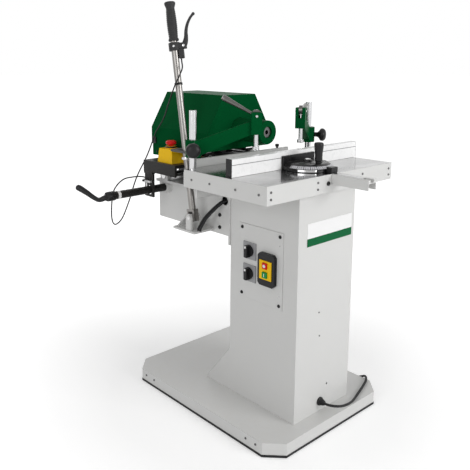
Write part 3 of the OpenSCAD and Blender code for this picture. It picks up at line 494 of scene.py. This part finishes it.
def stand(piece, foot, axis):  # turns the piece's own Z to an axis and moves it there
    piece.matrix_world = Matrix.Translation(m(*foot)) @ Vector(axis).to_track_quat("Z", "Y").to_matrix().to_4x4()
    makeOnly(piece)
    bpy.ops.object.transform_apply(location=True, rotation=True, scale=True)
    return piece


def copyOf(piece):
    twin = piece.copy()
    twin.data = piece.data.copy()
    scene.collection.objects.link(twin)
    return twin


def joinAll(parts):
    freshStart()
    for part in parts:
        part.select_set(True)
    bpy.context.view_layer.objects.active = parts[0]
    bpy.ops.object.join()
    return bpy.context.object


def settle(piece, name, body, finishName, replaced=()):
    makeOnly(piece)
    bpy.ops.object.transform_apply(location=True, rotation=True, scale=True)
    piece.name = name
    piece.data.name = name
    piece.data.materials.clear()
    piece.data.materials.append(finishes[finishName])
    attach(piece, body)
    if replaced:
        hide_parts(*replaced)
    return piece


def smoothRoute(points, steps):  # a curve through all its points
    route = []
    for i in range(len(points) - 1):
        a, b, c, d = (Vector(points[max(0, min(len(points) - 1, i + k))]) for k in (-1, 0, 1, 2))
        for k in range(steps):
            t = k / steps
            square, cube = 2 * a - 5 * b + 4 * c - d, 3 * b - a - 3 * c + d
            route.append(0.5 * (2 * b + (c - a) * t + square * t * t + cube * t ** 3))
    return route + [Vector(points[-1])]


def layCord(name, route, diameter, radii=None):  # one open spline with a round section
    data = bpy.data.curves.new(name, "CURVE")
    data.dimensions = "3D"
    data.bevel_depth = diameter / 2000
    data.bevel_resolution = 3
    data.use_fill_caps = True
    spline = data.splines.new("POLY")
    spline.points.add(len(route) - 1)
    for i, place in enumerate(route):
        spline.points[i].co = (*m(*place), 1)
        if radii:
            spline.points[i].radius = radii[i]
    cord = bpy.data.objects.new(name, data)
    scene.collection.objects.link(cord)
    return cord


def sweep(name, points, steps):  # a round bar through points of (x, y, z, radius)
    route = smoothRoute(points, steps)
    return meshOf(layCord(name, [p.to_3d() for p in route], 2, [p[3] for p in route]))


def trim(piece, place, outward):  # cuts off what lies beyond a plane and closes the cut
    makeOnly(piece)
    bpy.ops.object.mode_set(mode="EDIT")
    bpy.ops.mesh.select_all(action="SELECT")
    bpy.ops.mesh.bisect(plane_co=m(*place), plane_no=outward, use_fill=True, clear_outer=True)
    bpy.ops.mesh.select_all(action="SELECT")
    bpy.ops.mesh.normals_make_consistent(inside=False)
    bpy.ops.object.mode_set(mode="OBJECT")
    return piece


def putAt(piece, matrix):
    piece.matrix_world = matrix
    makeOnly(piece)
    bpy.ops.object.transform_apply(location=True, rotation=True, scale=True)
    return piece


def meshOf(curvePiece):
    makeOnly(curvePiece)
    bpy.ops.object.convert(target="MESH")
    bpy.ops.object.shade_smooth_by_angle(angle=math.radians(40))
    return bpy.context.object


# mains lead: out of its gland, over the base, down to the floor and into a coil beside the base
mainsSet = {
    "diameter": 9, "coilRadius": 46, "coilAt": (395, 70, 0), "turns": 4.25, "turnSteps": 24, "rest": 4.6, "pitch": 9.7,
    "run": [(-12, -325, 87), (-12, -339, 87), (-12, -354, 87), (-8.7, -370.8, 87), (0.9, -385.1, 86.2), (15.2, -394.7, 84),
            (32, -398, 80.5), (54, -397.8, 75.8), (80, -393, 69.5), (116, -382, 61), (170, -363, 57), (226, -345, 57),
            (278, -326, 58.5), (307, -302, 55), (321, -272, 36), (325, -228, 13), (328, -150, 5.2), (345, -60, 4.7),
            (349, 20, 4.6)],
    "tailRadius": 45, "tailFrom": (23, 45), "tailFlat": 30, "tailTop": 43.4, "tailSteps": 12, "plugAt": (515, 175, 20),
    "gland": (-12, -331, 87),
    "sleeve": [(15, 0), (15, 5), (13.6, 6), (11.6, 7), (11.6, 11), (9.8, 12), (10.6, 13.5), (9.4, 15), (10, 16.5), (8.6, 18),
               (9, 19.5), (7.4, 21), (7.6, 22.5), (5.6, 24), (5.2, 23.9), (5.2, 18)],
}
tieSet = {"half": (7.2, 24.5), "width": 7, "thick": 1.4, "lock": ((-4.5, 21.5, -0.5), (4.5, 28, 7.5)), "at": (398.5, 24, 25)}


def makeTie():  # a flat strap round the side of the coil
    freshStart()
    bpy.ops.mesh.primitive_circle_add(vertices=36, radius=0.001, fill_type="NOTHING")
    strap = bpy.context.object
    bpy.ops.object.mode_set(mode="EDIT")
    bpy.ops.mesh.select_all(action="SELECT")
    bpy.ops.transform.resize(value=(*tieSet["half"], 1), center_override=(0, 0, 0))
    bpy.ops.mesh.extrude_region_move(TRANSFORM_OT_translate={"value": m(0, 0, tieSet["width"])})
    bpy.ops.object.mode_set(mode="OBJECT")
    thick = strap.modifiers.new("thick", "SOLIDIFY")
    thick.thickness = tieSet["thick"] / 1000
    thick.offset = 1.0
    bpy.ops.object.modifier_apply(modifier=thick.name)
    bpy.ops.object.shade_smooth_by_angle(angle=math.radians(40))
    lock = block(*tieSet["lock"], 1.2)
    strap = joinAll([strap, lock])
    turn = Matrix.Rotation(math.radians(90), 4, "Z") @ Matrix.Rotation(math.radians(90), 4, "X")
    putAt(strap, Matrix.Translation(m(*tieSet["at"])) @ turn)
    return settle(strap, "coilTie", "frame", "blackPlastic")


def coilRoute(at, radius):  # each turn lies flat for half its way and then climbs onto the one below
    steps = mainsSet["turnSteps"]
    route = []
    for i in range(int(steps * mainsSet["turns"]) + 1):
        angle = math.radians(180 - 360 / steps * i)
        layer = i // steps + max(0, i % steps - steps // 2) / (steps // 2)
        height = mainsSet["rest"] + mainsSet["pitch"] * layer
        route.append(at + Vector((radius * math.cos(angle), radius * math.sin(angle), height)))
    return route


def tailRoute(at, radius):  # off the top of the coil, then round into the plug
    bend, flat, top = mainsSet["tailRadius"], mainsSet["tailFlat"], mainsSet["tailTop"]
    first, second = mainsSet["tailFrom"]
    plug = Vector(mainsSet["plugAt"])
    whole = flat + bend * math.pi / 2
    route = [at + Vector((first, radius, top))]
    for i in range(mainsSet["tailSteps"] + 1):
        done = i / mainsSet["tailSteps"]
        angle = max(0, done * whole - flat) / bend
        x = second + min(done * whole, flat) + bend * math.sin(angle)
        y = radius + bend * (1 - math.cos(angle))
        route.append(at + Vector((x, y, top - (top - plug.z) * done ** 2 * (3 - 2 * done))))
    return route + [plug]


def dressCord(cord, node, body=None):
    cord.data.materials.append(finishes["rubber"])
    if body:
        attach(cord, body)
    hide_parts(node)


def makeMainsLead():
    at, radius = Vector(mainsSet["coilAt"]), mainsSet["coilRadius"]
    route = smoothRoute(mainsSet["run"], 4) + coilRoute(at, radius) + tailRoute(at, radius)
    lead = layCord("mainsLead", route, mainsSet["diameter"])
    dressCord(lead, "mains_cord", "frame")
    tie = makeTie()
    sleeve = stand(turned(mainsSet["sleeve"], 36), mainsSet["gland"], (0, -1, 0))
    settle(sleeve, "leadGland", "frame", "blackPlastic", ["mains_gland"])


# two leads from the switch box to the lever bracket
leadSet = {
    "diameter": 8, "step": -12,
    "points": [(-130, 18, 770), (-158, 20, 765), (-182, 36, 742), (-205, 60, 705), (-218, 76, 668), (-219, 78, 656)],
}


def makeSwitchLeads():
    for i in range(2):
        route = [p + Vector((0, leadSet["step"] * i, 0)) for p in smoothRoute(leadSet["points"], 6)]
        lead = layCord("switchLead%d" % (i + 1), route, leadSet["diameter"])
        dressCord(lead, "control_leads", "frame")


# the latch cable: its upper run goes with the lever, its loop is left unattached
cableSet = {
    "diameter": 5,
    "upper": [(-203.9, 189.8, 1286.8), (-204, 184, 1258), (-222, 160, 1235), (-238, 160, 1205), (-240, 180, 1175),
              (-215, 250, 1105), (-192, 310, 1045), (-178, 380, 985)],
    "lower": [(-178, 380, 985), (-174, 408, 946), (-205, 405, 890), (-262, 388, 825), (-295, 374, 780), (-315, 374, 730),
              (-345, 380, 665), (-375, 382, 646), (-392, 378, 672), (-393, 374, 735), (-380, 374, 785), (-340, 376, 816),
              (-298, 370, 822), (-266, 352, 822), (-253, 332, 814)],
    "blendFrom": (-190, 405, 930), "blendTo": (-300, 376, 780),
}


def makeLatchCable():
    upper = smoothRoute(cableSet["upper"], 6)
    top = layCord("latchCableUpper", upper, cableSet["diameter"])
    dressCord(top, "bowden_cable", "lever")
    lower = smoothRoute(cableSet["lower"], 6)
    loop = meshOf(layCord("latchCableLoop", lower, cableSet["diameter"]))
    dressCord(loop, "bowden_cable")
    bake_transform(loop)


makeMainsLead()
makeSwitchLeads()
makeLatchCable()
print("cords laid")


# small fasteners, one screw copied to each place
screwSet = {
    "panel": {"size": (6.0, 3.4), "finish": "blackPlastic", "axis": (-1, 0, 0), "replaces": ["screws"],
              "places": [(-150, y, z) for y in (-255, -79) for z in (452, 692)]},
    "base": {"size": (4.0, 2.6), "finish": "screwSteel", "axis": (-1, 0, 0), "replaces": ["screws"],
             "places": [(-300, y, 31) for y in (-300, -255, 250, 300)]},
    "skirtSide": {"size": (4.0, 2.6), "finish": "screwSteel", "axis": (-1, 0, 0), "replaces": ["screws"],
                  "places": [(-327, y, 871) for y in (-324, -224, -104, -14)]},
    "skirtFront": {"size": (4.0, 2.6), "finish": "screwSteel", "axis": (0, -1, 0), "replaces": ["screws"],
                   "places": [(x, -356, z) for x in (-309, -90, 150, 309) for z in (881, 859)]},
    "skirtBolt": {"size": (7.5, 5.0), "finish": "castBlack", "axis": (0, -1, 0), "replaces": [],
                  "places": [(-38, -356, 872), (38, -356, 872)]},
    "columnDots": {"size": (3.0, 1.6), "finish": "screwSteel", "axis": (0, -1, 0), "replaces": [],
                   "places": [(-31, -331, 421), (-25, -331, 335), (25, -331, 140)]},
    "panelRivets": {"size": (2.6, 1.2), "finish": "brightSteel", "axis": (-1, 0, 0), "replaces": [],
                    "places": [(-150, -98, 507), (-150, -255, 660), (-150, -255, 484)]},
    "beamBolts": {"size": (7.0, 5.0), "finish": "castBlack", "axis": (-1, 0, 0), "replaces": [],
                  "places": [(-148, 39, 711), (-148, 39, 665)]},
    "hoodScrews": {"size": (4.5, 2.6), "finish": "blackPlastic", "axis": (-1, 0, 0), "replaces": [], "body": "head",
                   "places": [(-158, y, 905) for y in (240, 400)]},
    "hoodScrewsRight": {"size": (4.5, 2.6), "finish": "blackPlastic", "axis": (1, 0, 0), "replaces": [], "body": "head",
                        "places": [(158, y, 905) for y in (240, 400)]},
}


def makeScrews(name, size, finish, axis, replaces, places, body="frame"):
    r, h = size
    profile = [(r, 0), (r, h * 0.45), (r * 0.93, h * 0.75), (r * 0.78, h * 0.95), (r * 0.52, h), (r * 0.5, h * 0.4)]
    first = turned(profile, 20)
    heads = [first] + [copyOf(first) for place in places[1:]]
    for head, place in zip(heads, places):
        stand(head, place, axis)
    settle(joinAll(heads), name + "Screws", body, finish, replaces)


for screwName, values in screwSet.items():
    makeScrews(screwName, **values)
print("screws set")


# blank plates on the column
plateSet = {"white": ((-105, -332.2, 665), (133, -331, 743)), "green": ((-105, -332.5, 665), (133, -331.2, 692))}
settle(block(*plateSet["white"], rounding=0.35), "frontPlate", "frame", "whitePlastic")
settle(block(*plateSet["green"], rounding=0.35), "frontPlateBand", "frame", "plateGreen")


# lever: rubber grip with a flared end, collar and cable clip
gripSet = {
    "ribs": 13, "ribStart": 15, "ribStep": 7.2, "thin": 15.6, "swell": 1.9, "start": 639, "lean": 9.4,
    "foot": [(13.2, 0.6), (17, 0), (19, 2.5), (19, 6), (16.4, 11)],
    "flare": [(15.4, 118), (18.4, 127), (20, 131), (20, 136), (18, 139), (13, 140)],
    "collarAt": 212, "collar": [(13.0, 0), (17.5, 0), (18.2, 1.5), (18.2, 8.5), (17.5, 10), (13.0, 10)],
    "bandAt": 482, "band": [(12.7, 0), (14.6, 0), (14.9, 0.8), (14.9, 7.2), (14.6, 8), (12.7, 8)],
}
leverFoot = (-218, 107, 700)
leverAxis = (0, math.sin(math.radians(gripSet["lean"])), math.cos(math.radians(gripSet["lean"])))


def onLever(height):
    return tuple(f + a * height for f, a in zip(leverFoot, leverAxis))


def makeGrip():
    rings = list(gripSet["foot"])
    for i in range(gripSet["ribs"]):
        z = gripSet["ribStart"] + i * gripSet["ribStep"]
        r = gripSet["thin"] + gripSet["swell"] * math.sin(math.pi * (i + 0.5) / gripSet["ribs"])
        rings += [(r, z), (r + 0.9, z + 1.6), (r + 0.9, z + 4.4), (r, z + 6.0)]
    grip = stand(turned(rings + gripSet["flare"], 40), onLever(gripSet["start"]), leverAxis)
    settle(grip, "leverGrip", "lever", "gripGrey", ["lever_grip"])
    collar = stand(turned(gripSet["collar"], 36), onLever(gripSet["collarAt"]), leverAxis)
    settle(collar, "leverCollar", "lever", "brightSteel")
    band = stand(turned(gripSet["band"], 32), onLever(gripSet["bandAt"]), leverAxis)
    settle(band, "cableBand", "lever", "blackPlastic")


squeezeSet = {
    "up": 605, "out": 34, "pinUp": 14, "turn": -45, "flat": 0.66, "boltTurn": -135, "boltOut": 20,
    "blade": [(-3, 0, -5, 7), (2, 0, 3, 10.5), (8, 0, 16, 9.5), (11.5, 0, 31, 7.6), (13.5, 0, 51, 6.3), (20, 0, 73, 5.5),
              (31, 0, 93, 4.9), (41, 0, 104.5, 4.7), (44.5, 0, 107.5, 6.0), (47.5, 0, 110.5, 5.4), (49.5, 0, 112.3, 2.2)],
    "band": [(12.6, 0), (20, 0), (20.6, 1), (20.6, 27), (20, 28), (12.6, 28)],
    "web": ((13, -9, -30), (33, 9, 7)),
    "pin": [(3.6, -14.6), (4.6, -14.2), (4.6, 14.2), (3.6, 14.6)],
    "bolt": [(4.2, 0), (4.2, 2.2), (3.4, 3), (1.5, 3.1)],
    "ferrule": [(2.6, 0), (4.4, 0.4), (4.4, 9), (3.4, 10), (3.4, 16), (2.6, 16.4)],
    "ferruleAt": (-203.9, 190.6, 1290.5), "ferruleAxis": (0.0, -0.2, -0.98),
}


def spun(degrees, axis):
    return Matrix.Rotation(math.radians(degrees), 4, axis)


leverPlace = Matrix.Translation(m(*leverFoot)) @ spun(-gripSet["lean"], "X")
squeezeSide = leverPlace @ spun(squeezeSet["turn"], "Z") @ Matrix.Translation(m(0, 0, squeezeSet["up"]))
squeezePivot = squeezeSide @ Matrix.Translation(m(squeezeSet["out"], 0, squeezeSet["pinUp"]))


def makeSqueezeLever():  # a swept blade, flattened across its swing
    blade = sweep("squeezeBlade", squeezeSet["blade"], 5)
    makeOnly(blade)
    bpy.ops.object.mode_set(mode="EDIT")
    bpy.ops.mesh.select_all(action="SELECT")
    bpy.ops.transform.resize(value=(1, squeezeSet["flat"], 1), center_override=(0, 0, 0))
    bpy.ops.object.mode_set(mode="OBJECT")
    settle(putAt(blade, squeezePivot), "squeezeBlade", "squeeze", "gripGrey", ["squeeze_lever"])
    band = turned(squeezeSet["band"], 40)
    cheeks = [block((13, y - 3, 4), (44, y + 3, 25), 2.0, 3) for y in (-10.5, 10.5)]
    holder = joinAll([band, *cheeks, block(*squeezeSet["web"], 3.0, 3)])
    settle(putAt(holder, squeezeSide), "squeezeHolder", "lever", "gripGrey", ["squeeze_bracket"])
    pin = putAt(turned(squeezeSet["pin"], 24), squeezePivot @ spun(90, "X"))
    settle(pin, "squeezePin", "lever", "brightSteel")
    boltPlace = Matrix.Translation(m(squeezeSet["boltOut"], 0, squeezeSet["up"] + squeezeSet["pinUp"]))
    bolt = turned(squeezeSet["bolt"], 20)
    putAt(bolt, leverPlace @ spun(squeezeSet["boltTurn"], "Z") @ boltPlace @ spun(90, "Y"))
    settle(bolt, "holderBolt", "lever", "brightSteel")
    ferrule = stand(turned(squeezeSet["ferrule"], 24), squeezeSet["ferruleAt"], squeezeSet["ferruleAxis"])
    settle(ferrule, "cableFerrule", "lever", "brightSteel")


clipSet = {"low": (-166, 398, 938), "high": (-160, 420, 962)}
makeGrip()
makeSqueezeLever()
settle(block(clipSet["low"], clipSet["high"], 1.5), "hoodClip", "head", "blackPlastic")
print("lever dressed")


# emergency stop: mushroom on a black collar
stopSet = {
    "capAt": (-204, 251, 885), "ringAt": (-204, 251, 880),
    "cap": [(10, 34), (10.6, 36), (10.6, 66), (11, 66.6), (17, 67.4), (19.2, 69), (20, 71.5), (20, 75), (19, 78.4),
            (16.5, 80.8), (12, 82.4), (6, 83.2), (1, 83.4)],
    "ring": [(20.2, 61), (22, 61), (22.4, 62), (22.4, 65.5), (21.4, 66.4), (15.5, 66.4), (15.0, 65), (12.5, 62)],
}


def makeStopMushroom():
    cap = stand(turned(stopSet["cap"], 44), stopSet["capAt"], (0, 0, 1))
    settle(cap, "stopMushroom", "estop", "redPlastic", ["estop_button"])
    ring = stand(turned(stopSet["ring"], 40), stopSet["ringAt"], (0, 0, 1))
    settle(ring, "stopCollar", "cross_carriage", "blackPlastic")


makeStopMushroom()
print("emergency stop set")


# mitre gauge
mitreSet = {
    "pivot": (0, -238), "top": 925.5, "low": 901.5, "back": ((-82, -201, 901.5), (82, -192, 947.5)), "cutOff": 46,
    "slotAt": 46, "slotSize": (0.009, 0.022), "slotStart": 132, "slotSweep": -84,
    "plateCuts": [((0, 0, 0), (0.866, -0.5, 0)), ((0, 0, 0), (-0.309, 0.951, 0)), ((-62.2, -50.3, 0), (0.777, 0.629, 0))],
    "handleAt": (0, -284), "pointer": ((-15, -352, 901.2), (17, -328, 921)),
    "handle": [(9, 0.4), (10, 0), (10, 5.5), (12.5, 8), (13, 16), (12.6, 24), (13.4, 37), (15.2, 52), (16, 61), (15.6, 65.5),
               (13.4, 68.8), (9, 69.8), (2, 70)],
    "hub": [(9, 0), (9.5, 0.4), (9.5, 2.6), (8.6, 3.4), (5, 3.6), (4.6, 2)],
}


def makeSlotCutter(top):  # an upright plate swept round the pivot
    freshStart()
    place, face = m(mitreSet["slotAt"], 0, top + 2), (math.radians(90), 0, 0)
    bpy.ops.mesh.primitive_plane_add(size=1, location=place, rotation=face)
    cutter = bpy.context.object
    cutter.scale = (*mitreSet["slotSize"], 1)
    makeOnly(cutter)
    bpy.ops.object.transform_apply(location=True, rotation=True, scale=True)
    bpy.ops.object.mode_set(mode="EDIT")
    bpy.ops.mesh.select_all(action="SELECT")
    bpy.ops.transform.rotate(value=math.radians(mitreSet["slotStart"]), orient_axis="Z", center_override=(0, 0, 0))
    bpy.ops.mesh.spin(steps=28, angle=math.radians(mitreSet["slotSweep"]), center=(0, 0, 0), axis=(0, 0, 1))
    bpy.ops.mesh.select_all(action="SELECT")
    bpy.ops.mesh.remove_doubles(threshold=0.00001)
    bpy.ops.mesh.normals_make_consistent(inside=False)
    bpy.ops.object.mode_set(mode="OBJECT")
    return cutter


def makeMitreBody():  # a turned disc cut off at the fence, with its back plate and a bevelled scale
    top, low = mitreSet["top"], mitreSet["low"]
    pivot = Matrix.Translation(m(*mitreSet["pivot"], 0))
    disc = turned([(87, low), (88, low + 1), (88, top - 13), (87.4, top - 12.4), (69.6, top - 0.4), (68.6, top), (17, top),
                   (16, top + 0.6), (15, top + 6), (14, top + 7), (5.4, top + 7)], 96)
    trim(disc, (0, mitreSet["cutOff"], 0), (0, 1, 0))
    putAt(disc, pivot)
    body = joinAll([disc, block(*mitreSet["back"], 1.5)])
    cutter = putAt(makeSlotCutter(top), pivot)
    makeOnly(body)
    slot = body.modifiers.new("slot", "BOOLEAN")
    slot.operation = "DIFFERENCE"
    slot.object = cutter
    bpy.ops.object.modifier_apply(modifier=slot.name)
    bpy.data.objects.remove(cutter, do_unlink=True)
    settle(body, "mitreBody", "mitre", "castBlack", ["mitre_head"])
    scale = turned([(86.9, top - 12.6), (87.9, top - 12.4), (77, top - 5.0), (76, top - 5.7)], 96)
    trim(scale, (0, 4, 0), (0, 1, 0))
    settle(putAt(scale, pivot), "mitreScale", "mitre", "scaleBand")
    plate = turned([(87, low + 2), (88.5, low + 2), (88.5, top - 14.5), (87, top - 14.5)], 96)
    for place, outward in mitreSet["plateCuts"]:
        trim(plate, place, outward)
    settle(putAt(plate, pivot), "mitrePlate", "mitre", "brightSteel")


def makeScaleFinish():  # satin band with degree marks, finer marks between longer ones
    mat, tree, shader = startMaterial("scaleBand")
    where = tree.nodes.new("ShaderNodeTexCoord").outputs["Object"]
    shift = tree.nodes.new("ShaderNodeMapping")
    shift.inputs["Location"].default_value = (0, -mitreSet["pivot"][1] / 1000, 0)
    tree.links.new(where, shift.inputs["Vector"])
    split = tree.nodes.new("ShaderNodeSeparateXYZ")
    tree.links.new(shift.outputs[0], split.inputs[0])
    angle = mathNode(tree, "ARCTAN2", split.outputs["Y"], split.outputs["X"])
    degrees = mathNode(tree, "MULTIPLY", angle, 180 / math.pi)
    reach = tree.nodes.new("ShaderNodeVectorMath")
    reach.operation = "LENGTH"
    flat = tree.nodes.new("ShaderNodeCombineXYZ")
    tree.links.new(split.outputs["X"], flat.inputs[0])
    tree.links.new(split.outputs["Y"], flat.inputs[1])
    tree.links.new(flat.outputs[0], reach.inputs[0])
    fine = mathNode(tree, "LESS_THAN", mathNode(tree, "FRACT", mathNode(tree, "DIVIDE", degrees, 5.0)), 0.18)
    long = mathNode(tree, "LESS_THAN", mathNode(tree, "FRACT", mathNode(tree, "DIVIDE", degrees, 15.0)), 0.10)
    edge = mathNode(tree, "GREATER_THAN", reach.outputs["Value"], 0.0785)
    marks = mathNode(tree, "MAXIMUM", mathNode(tree, "MULTIPLY", fine, edge), long)
    grain = placeGroup(tree, "grind", Stretch=(400, 400, 400))
    pale = blendColour(tree, grain.outputs["Stain"], (0.46, 0.46, 0.49, 1), (0.58, 0.58, 0.60, 1))
    tree.links.new(blendColour(tree, marks, pale, (0.02, 0.02, 0.02, 1)), shader.inputs["Base Color"])
    tree.links.new(rangeNode(tree, grain.outputs["Streak"], 0.2, 0.8, 0.28, 0.42), shader.inputs["Roughness"])
    shader.inputs["Metallic"].default_value = 0.35
    return mat


finishes["scaleBand"] = makeScaleFinish()
makeMitreBody()


fenceSet = {
    "capLeft": ((-313.6, -192.4, 901.2), (-312, -165.6, 960)), "capRight": ((338, -192.4, 901.2), (339.6, -165.6, 960)),
    "seams": ((-312, -83), (83, 338)),
}


def makeMitreParts():
    handle = stand(turned(mitreSet["handle"], 40), (*mitreSet["handleAt"], mitreSet["top"] + 0.5), (0, 0, 1))
    settle(handle, "mitreHandle", "mitre_lock", "blackPlastic", ["mitre_handle"])
    hub = stand(turned(mitreSet["hub"], 32), (*mitreSet["pivot"], mitreSet["top"] + 7), (0, 0, 1))
    settle(hub, "mitreHub", "mitre_bar", "brightSteel")
    settle(block(*mitreSet["pointer"], 2.5, 3), "mitrePointer", "mitre_bar", "castBlack")
    settle(block(*fenceSet["capLeft"], 0.6), "fenceCapLeft", "mitre", "castBlack")
    settle(block(*fenceSet["capRight"], 0.6), "fenceCapRight", "mitre", "greyPlastic")
    seams = [block((x0, -192.4, 939.4), (x1, -190.9, 942.0), 0.3) for x0, x1 in fenceSet["seams"]]
    settle(joinAll(seams), "fenceSeam", "mitre", "greyPlastic")


makeMitreParts()
print("mitre gauge dressed")


# clamp knobs: smooth mushrooms in place of the stepped ones
knobSet = {
    "left": {"post": (-300, 10), "turn": -40, "side": -1}, "right": {"post": (300, 10), "turn": 212, "side": 1},
    "height": 972,
    "rings": [(5, 13), (5, 26.5), (9, 26.6), (9, 36), (10.5, 38.5), (14, 43), (17.5, 45.5), (21.5, 47.5), (24.2, 50.5),
              (25, 54), (25, 58), (23.8, 62), (21, 66), (16.5, 69.2), (10, 71.2), (2, 72)],
}


def makeKnobs():
    for name in ("left", "right"):
        turn, side = math.radians(knobSet[name]["turn"]), knobSet[name]["side"]
        axis = (-math.sin(turn) * side, math.cos(turn) * side, 0)
        knob = stand(turned(knobSet["rings"], 44), (*knobSet[name]["post"], knobSet["height"]), axis)
        settle(knob, "clampKnob" + name.title(), "knob_" + name, "blackPlastic", ["clamp_knob_" + name])


makeKnobs()


# bright ends on the pins of the eccentric levers
pinSet = {
    "half": 18, "end": [(4.4, 0), (4.4, 2), (3.8, 2.6), (1, 2.8)],
    "left": {"pivot": (-137.6, -126.27, 1081), "axis": (0.642788, 0.766044, 0)},
    "right": {"pivot": (120.21, -102.34, 1081), "axis": (0.529919, -0.848048, 0)},
}


def makePins():
    for name in ("left", "right"):
        pivot, axis = Vector(pinSet[name]["pivot"]), Vector(pinSet[name]["axis"])
        first = turned(pinSet["end"], 24)
        second = copyOf(first)
        ends = [stand(end, pivot + axis * side * pinSet["half"], axis * side) for end, side in ((first, 1), (second, -1))]
        settle(joinAll(ends), "clampPin" + name.title(), "clamp_" + name, "brightSteel")


makePins()
print("clamps dressed")


# index bar: white ring, collar and cranked handle
barSet = {
    "ringAt": (-394, 338, 770), "collarAt": (-405, 338, 770),
    "ring": [(15.1, 0), (15.6, 0.3), (15.6, 11.7), (15.1, 12)],
    "collar": [(15, 0), (17.6, 0), (18, 1), (18, 9), (16.2, 10), (16.2, 13), (18, 14), (18, 29), (16.5, 33), (11, 35)],
    "crank": [(-434, 339, 769, 11), (-446, 346, 764, 10.4), (-457, 362, 757.5, 8.8), (-466, 384, 765, 9.0),
              (-482, 405, 782, 10.4), (-497, 424, 796, 11.6), (-504, 432.5, 801, 10.2), (-507, 436, 803, 4)],
}


def makeBarHandle():
    ring = stand(turned(barSet["ring"], 40), barSet["ringAt"], (1, 0, 0))
    settle(ring, "barRing", "index", "whitePlastic")
    collar = stand(turned(barSet["collar"], 40), barSet["collarAt"], (-1, 0, 0))
    settle(collar, "barCollar", "index", "blackPlastic")
    settle(sweep("barCrank", barSet["crank"], 5), "barCrank", "index", "blackPlastic", ["bar_handle"])


makeBarHandle()
print("index bar dressed")


# marks and small trim
# the slit entries size thin black strips on the hood, painted shade for the dark insides of its vent slits
trimSet = {
    "slit": ((-62, 429.6, 968), (62, 430.8, 973)), "slits": 7, "slitStep": 14,
    "upperMark": ((-177.2, -121, 626), (-173.6, -115, 634)), "lowerMark": ((-177.2, -121, 545), (-173.6, -115, 553)),
    "startMark": ((-173.6, -206.2, 546), (-172.6, -203.8, 558)), "stopAt": (-172.6, -205, 584),
    "stopRing": [(4.0, 0), (5.4, 0), (5.7, 0.3), (5.7, 0.7), (5.4, 1), (4.0, 1), (3.8, 0.2)],
    "studAt": (148, 36, 928), "stud": [(4, 0), (4, 5), (7, 6), (7.5, 8), (7.5, 14), (6.4, 16), (3, 16.6)],
}


def makeTrim():
    # vent slits as black strips on the hood surface: painted shade in place of open slits
    slits = [block(*trimSet["slit"], 0.5)]
    for i in range(1, trimSet["slits"]):
        slits.append(putAt(copyOf(slits[0]), Matrix.Translation(m(0, 0, trimSet["slitStep"] * i))))
    settle(joinAll(slits), "hoodVentShade", "head", "castBlack")
    settle(block(*trimSet["upperMark"], 0.6), "selectorMarkUpper", "selector_upper", "whitePlastic")
    settle(block(*trimSet["lowerMark"], 0.6), "selectorMarkLower", "selector_lower", "whitePlastic")
    settle(block(*trimSet["startMark"], 0.3), "startMark", "start", "whitePlastic")
    settle(stand(turned(trimSet["stopRing"], 32), trimSet["stopAt"], (-1, 0, 0)), "stopMark", "stop", "whitePlastic")
    settle(stand(turned(trimSet["stud"], 28), trimSet["studAt"], (0, 0, 1)), "guideStud", "frame", "blackPlastic")


makeTrim()
print("trim set")
